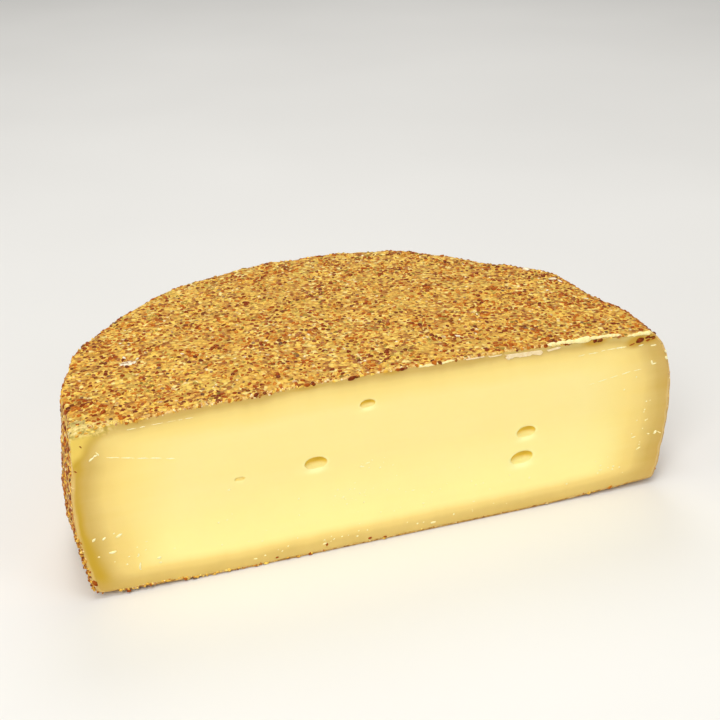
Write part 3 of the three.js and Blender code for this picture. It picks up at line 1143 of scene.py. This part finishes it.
# Single crumbs: across and up, length, thickness, and how far turned
CRUMBS = [
    (-125.3, 28.9, 2.0, 1.0, 50), (-121.3, 28.6, 2.0, 0.9, 35), (-115.4, 28.7, 3.0, 1.1, 28),
    (-118.6, 21.4, 3.2, 1.2, 4), (-100.6, 14.3, 2.0, 1.2, 10), (-100.1, 11.8, 1.3, 0.9, 0),
    (-108.5, 12.2, 3.6, 0.8, 80), (-108.6, 17.6, 1.4, 0.7, 75), (-69.2, 40.2, 1.4, 0.8, 0),
    (-121.8, 65.7, 2.6, 0.8, 35), (-119.2, 67.6, 2.0, 0.7, -60), (-120.1, 66.9, 1.8, 0.7, 20),
    (123.4, 63.9, 2.4, 0.9, -70), (124.6, 63.0, 2.2, 0.8, 5), (130.6, 64.9, 2.2, 1.1, -60),
    (129.9, 68.2, 1.6, 0.9, -70), (128.4, 27.4, 2.2, 1.4, 60), (130.6, 26.9, 2.8, 0.5, -36),
    (125.0, 27.2, 1.5, 0.8, -10), (117.3, 26.9, 2.4, 0.6, 8), (120.4, 20.5, 2.4, 0.7, 30),
    (101.6, 12.8, 1.8, 0.7, 20), (108.2, 13.5, 1.2, 0.6, 0), (-21.0, 25.7, 1.6, 0.7, 40),
    (10.7, 22.2, 1.4, 0.6, 10), (-9.9, 40.2, 1.2, 0.6, 30), (-11.6, 38.9, 1.0, 0.5, 0),
    (-7.6, 41.3, 0.9, 0.5, 0), (15.3, 14.5, 1.5, 0.6, 20), (20.0, 3.4, 2.6, 0.9, 5),
    (117.3, 73.3, 2.4, 0.8, 10), (123.4, 72.2, 2.8, 0.8, 0), (-30.0, 4.2, 1.8, 0.8, 10),
    (-60.5, 3.8, 1.6, 0.7, 0), (-117.2, 30.2, 1.0, 0.5, 30),
]

# Clouds of fine crumbs: across and up, half width, half height and how many
FINE_CRUMBS = [
    (-15, 27, 22, 8, 18), (12, 22, 20, 8, 16), (-8, 40, 5, 2.5, 8), (-108, 16, 14, 9, 10),
    (100, 14, 16, 6, 10), (40, 18, 30, 9, 10), (-60, 20, 28, 9, 10), (122, 40, 6, 22, 12),
    (-28, 5.5, 30, 1.6, 14), (30, 5.5, 22, 1.6, 8),
]

# Peeled film under the top edge: from and to, across and up, how far it hangs, how far it stands off,
# and how deep its left end is torn
FILMS = [
    ((51.6, 80.1), (69.0, 79.4), 2.1, 0.5, 1.6),
    ((71.3, 78.9), (77.4, 79.6), 0.8, 0.4, 0.3),
    ((34.0, 81.3), (42.4, 81.2), 0.5, 0.25, 0.2),
    ((44.5, 80.6), (50.6, 80.6), 0.45, 0.25, 0.4),
]

# Lips of paste that curl over the coat's edge: from and to across, half thickness and rise over the edge
LIPS = [
    (11.7, 30.0, 0.5, 0.3), (71.5, 93.5, 1.2, 0.9), (91.0, 107.5, 0.6, 1.15), (110.0, 122.6, 0.85, 0.4),
]
LIP_STEP = 0.35
LIP_SIDES = 10
LIP_LEAST_SWELLING = 0.3
LIP_SWELLING = [(0.55, 4.3, 71), (0.4, 1.3, 72)]
LIP_RISE = [(0.3, 7.0, 73)]

# How far lips and scratches stand off the face, as a share of their half width
TUBE_HEIGHT_SHARE = 0.7

# The dashes of a scratch: their steps, their sides, their lengths, the gaps between them, their shares of
# its width, how far they wander up and down and how uneven they are
DASH_STEPS = 14
DASH_SIDES = 8
DASH_LENGTHS = (1.5, 5.5)
DASH_GAPS = (0.2, 1.9)
DASH_WIDTHS = (0.6, 1.15)
DASH_WANDER = 0.10
DASH_UNEVENNESS = 0.35

# How far crumbs stay from the ends of the face, and between which heights they lie
CRUMB_MARGIN = 1.5
CRUMB_HEIGHTS = (4.5, 76)

# Fine crumbs: between which lengths, their thickness against it, and how closely a cloud keeps together
FINE_CRUMB_LENGTHS = (0.45, 1.1)
FINE_CRUMB_THICKNESS = (0.4, 0.8)
CLOUD_TIGHTNESS = 0.6

# The film: the length of a step along it, its steps down, its thickness, how far in front of the face its
# top is, and how it wanders and frays
FILM_STEP = 0.45
FILM_STEPS_DOWN = 6
FILM_THICKNESS = 0.16
FILM_OFF_FACE = 0.12
FILM_WANDER = [(1, 3.1, 61)]
FILM_FRAYING = [(1, 0.9, 62)]


def tube(path, across, half_widths, sides):
    """A closed tube along a path on the face, with half widths point by point"""
    turns = np.linspace(0, 2 * math.pi, sides, endpoint=False)
    off_face = np.array([0, -1.0, 0])
    rings = (
        path[:, None]
        + across * (half_widths[:, None] * np.cos(turns))[..., None]
        + off_face * (TUBE_HEIGHT_SHARE * half_widths[:, None] * np.sin(turns))[..., None]
    )
    count = len(path)
    ids = np.arange(count * sides).reshape(count, sides)
    wrapped = np.hstack([ids, ids[:, :1]])
    points = np.concatenate([rings.reshape(-1, 3), path[[0, -1]]])
    ends = [fan_faces(ids[0], count * sides), fan_faces(ids[-1][::-1], count * sides + 1)]
    return points, [grid_faces(wrapped), *ends]


def make_closed_piece(name, parts, material):
    """A piece of cheese paste made of several closed shapes, each as its points and faces"""
    start = 0
    all_points, all_faces = [], []
    for points, faces in parts:
        all_points.append(points)
        all_faces += [group + start for group in faces]
        start += len(points)
    piece = new_object(name, np.concatenate(all_points), all_faces, material)
    face_outward(piece.data)
    add_piece(piece)


def dash(start, end, half_width, random):
    """A short raised scratch, thick in the middle and uneven along its way"""
    share = np.linspace(0, 1, DASH_STEPS)
    path = start[None] + share[:, None] * (end - start)[None]
    path[:, 2] += DASH_WANDER * random.normal(size=len(share)).cumsum() / 3
    along = (end - start) / np.linalg.norm(end - start)
    taper = np.sin(math.pi * np.clip(share, 0.04, 0.96)) ** 0.6
    half_widths = half_width * taper * (1 + DASH_UNEVENNESS * random.uniform(-1, 1, len(share)))
    return tube(path, np.array([-along[2], 0, along[0]]), half_widths, DASH_SIDES)


def make_knife_marks(random, material):
    parts = []
    for (x0, z0), (x1, z1), half_width in KNIFE_MARKS:
        start, end = np.array([x0, FACE_BACK, z0]), np.array([x1, FACE_BACK, z1])
        length = np.linalg.norm(end - start)
        at = 0.0
        while at < length - 1:
            reach = min(random.uniform(*DASH_LENGTHS), length - at)
            pieces = [start + (end - start) * value / length for value in (at, at + reach)]
            parts.append(dash(*pieces, half_width * random.uniform(*DASH_WIDTHS), random))
            at += reach + random.uniform(*DASH_GAPS)
    make_closed_piece("knife_marks", parts, material)


def kept_on_face(across, up, edges):
    """A place on the face moved in from the edges of the cut, if it lies outside them or next to them"""
    lowest, highest = CRUMB_HEIGHTS
    up = min(max(up, lowest), highest)
    left, right = (edge_at(edges, side, up) for side in ("left", "right"))
    return min(max(across, left + CRUMB_MARGIN), right - CRUMB_MARGIN), up


def make_paste_crumbs(edges, random, material):
    spots = list(CRUMBS)
    for across, up, half_width, half_height, count in FINE_CRUMBS:
        for _ in range(count):
            length = random.uniform(*FINE_CRUMB_LENGTHS)
            here = across + half_width * random.normal() * CLOUD_TIGHTNESS
            there = up + half_height * random.normal() * CLOUD_TIGHTNESS
            thickness = length * random.uniform(*FINE_CRUMB_THICKNESS)
            spots.append((*kept_on_face(here, there, edges), length, thickness, random.uniform(0, 60)))
    points, faces = turned_grains(spots, random)
    add_piece(new_object("paste_crumbs", points, [faces], material))


def sheet(front, thickness):
    """A closed thin sheet from a grid of points"""
    back = front + np.array([0, thickness, 0])
    count = front.shape[0] * front.shape[1]
    ids = np.arange(count).reshape(front.shape[:2])
    border = np.concatenate([ids[:-1, 0], ids[-1, :-1], ids[:0:-1, -1], ids[0, :0:-1]])
    points = np.concatenate([front.reshape(-1, 3), back.reshape(-1, 3)])
    return points, [grid_faces(ids), grid_faces(ids + count)[:, ::-1], ring_faces(border, border + count)]


def film_sheet(film):
    (x0, z0), (x1, z1), hang, stand_off, tear = film
    along = np.linspace(0, 1, max(int((x1 - x0) / FILM_STEP), 8) + 1)[:, None]
    down = np.linspace(0, 1, FILM_STEPS_DOWN + 1)[None]
    x_top = x0 + along * (x1 - x0)
    wander, fraying = (uneven_along(x_top[:, 0], rows)[:, None] for rows in (FILM_WANDER, FILM_FRAYING))
    whole = np.minimum(1, 12 * np.minimum(along, 1 - along) + 0.5)
    drop = hang * (0.9 + 0.3 * wander + 0.15 * fraying) * whole
    torn = tear * hump(along, 0.1) * (1 - np.abs(2 * down - 1))
    x = x_top + 1.2 * (0.5 + wander) * down * 0.6 + torn
    z = z0 + along * (z1 - z0) - drop * down
    curl = stand_off * down ** 2 * (0.6 + 0.6 * wander)
    y = FACE_BACK - FILM_OFF_FACE - np.maximum(curl, 0)
    return sheet(np.stack([x, y, z], axis=-1), FILM_THICKNESS)


def curled_lip(edges, start, end, thickness, over_edge):
    """Soft paste that the knife dragged up over the edge of the coat"""
    x = np.arange(start, end, LIP_STEP)
    share = np.linspace(0, 1, len(x))
    swell = 1 + uneven_along(x, LIP_SWELLING)
    taper = np.minimum(1, 8 * np.minimum(share, 1 - share) + 0.1)
    z = edge_at(edges, "top", x) + over_edge + uneven_along(x, LIP_RISE)
    path = np.stack([x, FACE_BACK + 0.1 + 0 * x, z], axis=1)
    half_widths = thickness * np.maximum(swell, LIP_LEAST_SWELLING) * taper
    return tube(path, np.array([0, 0, 1.0]), half_widths, LIP_SIDES)


# Broken coat along the edges of the cut, by piece: the side, from and to across or up, how many bits,
# the largest size of a bit, and how far out they reach
BROKEN_EDGES = {
    "coat_crumbs": [
        ("top", -121, -20, 300, 1.5, 0.9),
        ("top", -20, 70, 110, 1.2, 0.9),
        ("top", 70, 116, 12, 1.0, 0.5),
        ("left", 30, 76, 6, 1.0, 0.4),
        ("left", 2, 32, 30, 1.5, 0.8),
        ("bottom", -120, -55, 130, 1.8, 0.9),
        ("bottom", -55, 100, 60, 1.1, 0.9),
    ],
    "pale_crumbs": [
        ("top", -121, -20, 90, 1.3, 0.9),
        ("top", -20, 70, 70, 1.1, 0.9),
        ("left", 6, 76, 60, 0.9, 0.3),
        ("right", 6, 76, 70, 1.0, 0.9),
        ("bottom", -113, -96, 30, 1.2, 0.4),
        ("bottom", -120, -55, 25, 1.2, 0.9),
        ("bottom", -55, 100, 40, 1.1, 0.9),
    ],
    "rust_crumbs": [
        ("left", 3, 34, 130, 1.7, 1.3),
    ],
}

# Their places behind the cut, how far inside its edge they start, their sizes against the largest, their
# form, which way they face, how deep they are sunk and how crushed they are
BROKEN_BACK = (-0.15, 0.8)
BROKEN_INSIDE = 0.35
BROKEN_SIZES = (0.45, 1.0)
BROKEN_FORM = np.array([1.0, 0.75, 0.5])
BROKEN_FACING = np.array([0.0, -1.0, 0.3])
BROKEN_SUNK = 0.1
BROKEN_CRUSHED = 0.25

# Their colours by random tint, darkest first
CRUMB_COLOURS = {
    "coat_crumbs": ["#8f4418", "#c07a2c", "#e0ac40", "#f2c653", "#f8dc80"],
    "pale_crumbs": ["#c08a62", "#dcae78", "#eec98a", "#f6dc9c", "#fbe9bd"],
    "rust_crumbs": ["#74300c", "#964c14", "#b4701e", "#d29836", "#eac052"],
}


def broken_edge_places(runs, edges, random):
    places, sizes = [], []
    for side, low, high, count, largest, reach in runs:
        axis, outward = SIDES[side]
        at = random.uniform(low, high, count)
        other = edge_at(edges, side, at) + outward * random.uniform(-BROKEN_INSIDE, reach, count)
        y = -CUT_BESIDE_MIDDLE + random.uniform(*BROKEN_BACK, count)
        x, z = (other, at) if axis else (at, other)
        places.append(np.stack([x, y, z], axis=1))
        sizes.append(largest * random.uniform(*BROKEN_SIZES, count))
    return np.concatenate(places), np.concatenate(sizes)


def make_broken_edge(name, edges, random):
    places, sizes = broken_edge_places(BROKEN_EDGES[name], edges, random)
    outward = np.tile(BROKEN_FACING, (len(places), 1))
    outward /= np.linalg.norm(outward, axis=1, keepdims=True)
    size = sizes[:, None] * BROKEN_FORM
    points, faces, _ = grains(places, outward, size, BROKEN_SUNK, BROKEN_CRUSHED, random, 2)
    tint = np.repeat(random.random(len(places)), len(points) // len(places))
    material = coat_crumb_material(name, CRUMB_COLOURS[name])
    crumbs = new_object(name, pressed_flat(points, tint), [faces], material)
    set_attributes(crumbs.data, {"tint": tint})
    add_piece(crumbs)


# Pale chips lying on the top: across and back from the wheel's axis, and length
TOP_CHIPS = [
    (100.7, 70.4, 4.4), (107.8, 55.2, 3.6), (109.8, 51.8, 2.6), (98.7, 43.1, 2.2), (39.5, 8.6, 2.4),
    (112.3, 30.1, 2.2), (-96.0, 36.9, 2.6), (-99.6, 42.9, 2.2), (-94.6, 39.4, 1.8), (-98.6, 36.6, 1.6),
]

# How far above the coat they lie, their form against their length, how deep they are sunk and how crushed
CHIPS_ABOVE_COAT = 0.35
CHIP_FORM = np.array([1, 0.6, 0.34])
CHIPS_SUNK = 0.1
CHIPS_CRUSHED = 0.3


def make_top_chips(surface, random, material):
    points, quads, _, _ = surface
    normals = point_normals(points, quads)
    on_top = np.flatnonzero(points[:, 2] > WHEEL_HEIGHT / 2)
    places, outward = [], []
    for across, back, _ in TOP_CHIPS:
        apart = np.hypot(points[on_top, 0] - across, points[on_top, 1] - back)
        nearest = on_top[np.argmin(apart)]
        places.append((across, back, points[nearest, 2] + CHIPS_ABOVE_COAT))
        outward.append(normals[nearest])
    places, outward = np.array(places), np.array(outward)
    size = np.array([length for _, _, length in TOP_CHIPS])[:, None] * CHIP_FORM
    points, faces, _ = grains(places, outward, size, CHIPS_SUNK, CHIPS_CRUSHED, random, 2)
    add_piece(new_object("pale_chips", points, [faces], material))


# Materials

def linear_colour(text):
    """A colour written as #rrggbb, as linear red, green, blue and alpha"""
    values = [int(text[i:i + 2], 16) / 255 for i in (1, 3, 5)]
    linear = [value / 12.92 if value <= 0.04045 else ((value + 0.055) / 1.055) ** 2.4 for value in values]
    return linear + [1]


class Nodes:
    """A short way to write a material's nodes"""

    def __init__(self, name):
        self.material = bpy.data.materials.new(name.replace("_", " "))
        self.material.use_nodes = True
        self.tree = self.material.node_tree
        self.shader = self.tree.nodes["Principled BSDF"]

    def feed(self, node, inputs):
        """Gives inputs, by name or number, a number, a vector, a colour as text, or a link"""
        for name, value in inputs.items():
            if isinstance(value, bpy.types.NodeSocket):
                self.tree.links.new(value, node.inputs[name])
            else:
                colour = isinstance(value, str)
                node.inputs[name].default_value = linear_colour(value) if colour else value

    def add(self, kind, inputs, **settings):
        node = self.tree.nodes.new(kind)
        for name, value in settings.items():
            setattr(node, name, value)
        self.feed(node, inputs)
        return node

    def place(self):
        return self.add("ShaderNodeTexCoord", {}).outputs["Object"]

    def attribute(self, name):
        return self.add("ShaderNodeAttribute", {}, attribute_name=name).outputs["Fac"]

    def noise(self, vector, scale, detail=3.0, roughness=0.5, distortion=0.0):
        inputs = {"Vector": vector, "Scale": scale, "Detail": detail, "Roughness": roughness}
        return self.add("ShaderNodeTexNoise", {**inputs, "Distortion": distortion}).outputs["Fac"]

    def ramp(self, value, *stops):
        """Colours along a value, each stop as its position and colour"""
        node = self.add("ShaderNodeValToRGB", {"Fac": value})
        elements = node.color_ramp.elements
        while len(elements) < len(stops):
            elements.new(0.5)
        for element, (position, colour) in zip(elements, stops):
            element.position = position
            element.color = linear_colour(colour)
        return node.outputs["Color"]

    def span(self, value, low, high, to_low=0.0, to_high=1.0):
        inputs = {"Value": value, "From Min": low, "From Max": high, "To Min": to_low, "To Max": to_high}
        return self.add("ShaderNodeMapRange", inputs).outputs["Result"]

    def math(self, operation, first, second):
        return self.add("ShaderNodeMath", {0: first, 1: second}, operation=operation).outputs["Value"]

    def mottled(self, value, mottle, amount):
        """A value made uneven by noise, up and down by an amount"""
        return self.math("ADD", value, self.span(mottle, 0.3, 0.7, -amount, amount))

    def mix(self, share, first, second, blend="MIX"):
        inputs = {0: share, 6: first, 7: second}
        return self.add("ShaderNodeMix", inputs, data_type="RGBA", blend_type=blend).outputs[2]

    def layers(self, colour, *rows):
        """Colours laid over one: a value, where it starts and is full, how strong, and the colour, each"""
        for value, low, high, strength, over in rows:
            colour = self.mix(self.span(value, low, high, 0, strength), colour, over)
        return colour

    def bump(self, distance, *layers):
        """Bumps laid over one another, each as height and strength, the first one deepest down"""
        below = {}
        for height, strength in layers:
            inputs = {"Strength": strength, "Distance": distance, "Height": height, **below}
            below = {"Normal": self.add("ShaderNodeBump", inputs).outputs["Normal"]}
        self.feed(self.shader, below)

    def lit_within(self, weight, radius, scale):
        """Light that passes a little way through, as far in red, green and blue as the radius says"""
        inputs = {"Subsurface Weight": weight, "Subsurface Radius": radius, "Subsurface Scale": scale}
        self.feed(self.shader, inputs)

    def finish(self, colour, roughness, specular):
        inputs = {"Base Color": colour, "Roughness": roughness, "Specular IOR Level": specular}
        self.feed(self.shader, inputs)
        return self.material


def smeared_mustard(nodes, place):
    """The pale olive smear where the knife dragged mustard over the upper left corner"""
    return nodes.ramp(
        nodes.noise(place, 620, 3, 0.62),
        (0.36, "#a8934a"), (0.45, "#d0b660"), (0.54, "#ecd078"), (0.66, "#fae6a8"),
    )


def ground_mustard(nodes, place):
    """Small grains of mustard flour, one colour each: the cells that hold them, and their colour"""
    bent = nodes.add("ShaderNodeTexNoise", {"Vector": place, "Scale": 500}).outputs["Color"]
    wobble = {0: bent, 1: (0.0012, 0.0012, 0.0012), 2: place}
    wobbling = nodes.add("ShaderNodeVectorMath", wobble, operation="MULTIPLY_ADD").outputs["Vector"]
    cells = nodes.add("ShaderNodeTexVoronoi", {"Vector": wobbling, "Scale": 560})
    chosen = nodes.add("ShaderNodeSeparateColor", {"Color": cells.outputs["Color"]}).outputs["Red"]
    return cells, nodes.ramp(
        chosen,
        (0.00, "#8a3f0c"), (0.14, "#a65e1c"), (0.26, "#c08030"), (0.42, "#dca243"),
        (0.62, "#f2c253"), (0.84, "#fad561"), (0.96, "#fbe48e"),
    )


def coat_edge_tone(nodes, place):
    """The coat's own cut edge, paler at both ends of the cut"""
    tone = nodes.ramp(
        nodes.noise(place, 520, 3, 0.6),
        (0.35, "#a8692f"), (0.46, "#dba850"), (0.56, "#f0c878"), (0.72, "#f8e0a8"),
    )
    return nodes.mix(nodes.attribute("end_edges"), tone, "#e8c27a")


def coat_material():
    nodes = Nodes("mustard paste")
    place = nodes.place()
    cells, crumbs = ground_mustard(nodes, place)
    streaks = nodes.noise(place, 330, 4, 0.62, 0.6)
    # The smear follows the streaks that the bump below raises: partly the paste's own streaky tone, partly
    # painted shade, darker in the low streaks and paler on the raised ones
    smear = nodes.ramp(
        streaks, (0.30, "#a0742c"), (0.42, "#cc963a"), (0.52, "#f0be50"), (0.66, "#fcd65e"),
    )
    smeared = nodes.span(nodes.noise(place, 190), 0.48, 0.62, 0.1, 0.85)
    # Painted shade: the colour is darkened toward the rims of the flour cells, which the bump below makes
    # low, between the grains
    painted_shade_between_grains = nodes.span(cells.outputs["Distance"], 0.42, 0.68, 0, 0.35)
    colour = nodes.mix(painted_shade_between_grains, nodes.mix(smeared, crumbs, smear), "#8b7434", "MULTIPLY")
    rind = nodes.ramp(
        nodes.noise(place, 800, 3, 0.6), (0.36, "#a08468"), (0.48, "#e6d2ac"), (0.6, "#fff4dc"),
    )
    colour = nodes.layers(
        colour,
        (nodes.noise(place, 28), 0.45, 0.68, 0.3, "#d0952c"),
        (nodes.noise(place, 75, 2), 0.52, 0.70, 0.35, "#b9a346"),
        (nodes.attribute("cut_edge"), 0.25, 0.8, 0.8, coat_edge_tone(nodes, place)),
        (nodes.attribute("dragged_coat"), 0.2, 0.7, 0.8, smeared_mustard(nodes, place)),
        (nodes.attribute("bare"), 0.15, 0.4, 1, rind),
    )
    fine = nodes.noise(place, 620, 4, 0.6)
    rounded = nodes.span(cells.outputs["Distance"], 0.0, 0.8, 1, 0)
    nodes.bump(0.0006, (rounded, 0.7), (streaks, 0.6), (fine, 0.4))
    return nodes.finish(colour, nodes.span(fine, 0.3, 0.7, 0.42, 0.68), 0.2)


def seed_material(name, kind):
    nodes = Nodes(name)
    place = nodes.place()
    mottle = nodes.noise(place, 900, 3, 0.6)
    tint = nodes.mottled(nodes.attribute("tint"), mottle, 0.3)
    hull = nodes.ramp(tint, *zip((0.0, 0.5, 1.0), kind.colours))
    flesh = nodes.ramp(nodes.noise(place, 360, 3, 0.6), *zip((0.35, 0.5, 0.65), kind.flesh))
    covered = nodes.mottled(nodes.attribute("hull"), nodes.noise(place, 640, 3, 0.6), 0.35)
    colour = nodes.layers(flesh, (covered, kind.hull - 0.1, kind.hull + 0.1, 1, hull))
    nodes.bump(0.0004, (mottle, 0.4))
    return nodes.finish(colour, 0.45, 0.12)


def paste_material():
    nodes = Nodes("cheese paste")
    place = nodes.place()
    depth = nodes.mottled(nodes.attribute("rind_depth"), nodes.noise(place, 60), 1.2)
    colour = nodes.ramp(
        nodes.span(depth, 0, 44),
        (0.0, "#cba34a"), (0.12, "#d0ad52"), (0.19, "#ddbc63"), (0.29, "#f0d175"),
        (0.46, "#fadd80"), (0.66, "#fce38a"), (0.95, "#fde896"),
    )
    height = nodes.add("ShaderNodeSeparateXYZ", {"Vector": place}).outputs["Z"]
    low_middle = nodes.math("MULTIPLY", nodes.span(height, 0.045, 0.018), nodes.span(depth, 18, 34))
    stretch = {"Vector": place, "Rotation": (0, 0.12, 0), "Scale": (9, 40, 110)}
    streak = nodes.noise(nodes.add("ShaderNodeMapping", stretch).outputs["Vector"], 1.0, 4, 0.55)
    colour = nodes.layers(
        colour,
        (low_middle, 0, 1, 1, "#fff49e"),
        (streak, 0.3, 0.75, 0.10, "#fff6c8"),
        (nodes.noise(place, 45, 4, 0.6), 0.35, 0.8, 0.10, "#f2cf78"),
        (nodes.attribute("olive"), 0, 1, 0.8, "#d2b868"),
        (nodes.attribute("amber"), 0, 1, 0.9, "#c8a014"),
        (nodes.attribute("stain"), 0.1, 0.6, 0.9, "#c89a24"),
        (nodes.attribute("pale_rim"), 0, 1, 0.9, "#f0cf88"),
        (nodes.attribute("lemon"), 0, 1, 1, "#ebcb5c"),
        (nodes.attribute("dragged_coat"), 0, 1, 0.85, smeared_mustard(nodes, place)),
        # Painted shade on the upper wall inside each eye
        (nodes.attribute("eye"), 0, 1, 0.95, "#eeca36"),
        # Painted highlight on each eye's lower lip, its lower wall and a thin rim round it
        (nodes.attribute("eye_painted_highlight"), 0, 1, 0.8, "#fffbb6"),
    )
    nodes.bump(0.0006, (streak, 0.25), (nodes.noise(place, 1500), 0.06))
    nodes.lit_within(0.12, (1.0, 0.65, 0.25), 0.002)
    return nodes.finish(colour, nodes.span(streak, 0.3, 0.7, 0.40, 0.52), 0.35)


def pale_paste_material(name, dark, pale):
    nodes = Nodes(name)
    clouds = nodes.noise(nodes.place(), 700, 3, 0.6)
    nodes.bump(0.0003, (clouds, 0.4))
    nodes.lit_within(0.15, (1.0, 0.7, 0.35), 0.001)
    return nodes.finish(nodes.ramp(clouds, (0.3, dark), (0.65, pale)), 0.45, 0.25)


def coat_crumb_material(name, colours):
    nodes = Nodes(name)
    mottle = nodes.noise(nodes.place(), 800, 3, 0.6)
    tint = nodes.mottled(nodes.attribute("tint"), mottle, 0.3)
    nodes.bump(0.0003, (mottle, 0.4))
    return nodes.finish(nodes.ramp(tint, *zip((0.0, 0.22, 0.45, 0.7, 1.0), colours)), 0.55, 0.2)


def floor_material():
    nodes = Nodes("pale floor")
    clouds = nodes.noise(nodes.place(), 3, 2)
    return nodes.finish(nodes.ramp(clouds, (0.3, "#e3e1dc"), (0.7, "#e8e6e1")), 0.8, 0.2)


# Camera, lights and floor

def make_camera():
    pitch, yaw, roll = (math.radians(turn) for turn in (CAMERA_PITCH, CAMERA_YAW, CAMERA_ROLL))
    back = Vector((
        math.sin(yaw) * math.cos(pitch),
        -math.cos(yaw) * math.cos(pitch),
        math.sin(pitch),
    ))
    level = Vector((math.cos(yaw), math.sin(yaw), 0))
    upright = back.cross(level)
    right = math.cos(roll) * level + math.sin(roll) * upright
    up = math.cos(roll) * upright - math.sin(roll) * level
    camera = put_in_scene("camera", bpy.data.cameras.new("camera"))
    camera.data.sensor_width = SENSOR_WIDTH
    camera.data.lens = CAMERA_LENS
    camera.data.clip_start = 0.01
    turned = Matrix((right, up, back)).transposed().to_4x4()
    camera.matrix_world = Matrix.Translation(CAMERA_PLACE) @ turned
    bpy.context.scene.camera = camera


# Lights: name, place, width and power
LIGHTS = [
    ("key light", (-0.85, -1.15, 1.35), 0.8, 14.7),
    ("fill light", (1.1, -1.3, 0.8), 1.2, 7.4),
    ("back light", (0.3, 1.2, 1.5), 1.0, 8.8),
    ("left light", (-1.4, 0.0, 0.5), 0.7, 3.2),
    ("top light", (-0.2, -0.3, 1.6), 0.7, 9),
]
LIGHTS_AIM = (0, 0, 0.04)
WORLD_STRENGTH = 0.305


def make_light(name, place, width, power):
    light = bpy.data.lights.new(name, "AREA")
    light.shape = "DISK"
    light.size = width
    light.energy = power
    lamp = put_in_scene(name, light)
    lamp.location = place
    lamp.rotation_mode = "QUATERNION"
    lamp.rotation_quaternion = (Vector(LIGHTS_AIM) - Vector(place)).to_track_quat("-Z", "Y")


def make_lights():
    for row in LIGHTS:
        make_light(*row)
    world = bpy.data.worlds.new("studio")
    world.use_nodes = True
    background = world.node_tree.nodes["Background"]
    background.inputs["Color"].default_value = (1, 1, 1, 1)
    background.inputs["Strength"].default_value = WORLD_STRENGTH
    bpy.context.scene.world = world
    bpy.context.scene.view_settings.view_transform = "Standard"


FLOOR_HALF_SIZE = 9
FLOOR_BELOW = 0.0003


def make_floor():
    mesh = bpy.data.meshes.new("floor")
    corners = [(-1, -1), (1, -1), (1, 1), (-1, 1)]
    points = [(FLOOR_HALF_SIZE * x, FLOOR_HALF_SIZE * y, 0) for x, y in corners]
    mesh.from_pydata(points, [], [(0, 1, 2, 3)])
    mesh.materials.append(floor_material())
    floor = put_in_scene("floor", mesh)
    floor.location.z = -FLOOR_BELOW


make_camera()
make_lights()
make_floor()
random = np.random.default_rng(RANDOM_SEED)
surface = rough_coat_surface()
edges = cut_sides(surface)
make_coat(surface, coat_material())
make_paste(edges, paste_material())
make_all_seeds(surface, random)
make_broken_edge("coat_crumbs", edges, random)
make_broken_edge("pale_crumbs", edges, random)
make_top_chips(surface, random, pale_paste_material("pale chips", "#e6cfa0", "#fff4d8"))
make_knife_marks(random, pale_paste_material("scratched paste", "#fff0a8", "#fffad2"))
make_paste_crumbs(edges, random, pale_paste_material("paste crumbs", "#ffeea4", "#fff8c8"))
film_material = pale_paste_material("peeled film", "#ecca92", "#f8e2b4")
make_closed_piece("peeled_film", [film_sheet(film) for film in FILMS], film_material)
lip_material = pale_paste_material("smeared paste", "#f8dc88", "#fff2b4")
make_closed_piece("cream_lips", [curled_lip(edges, *row) for row in LIPS], lip_material)
make_broken_edge("rust_crumbs", edges, random)
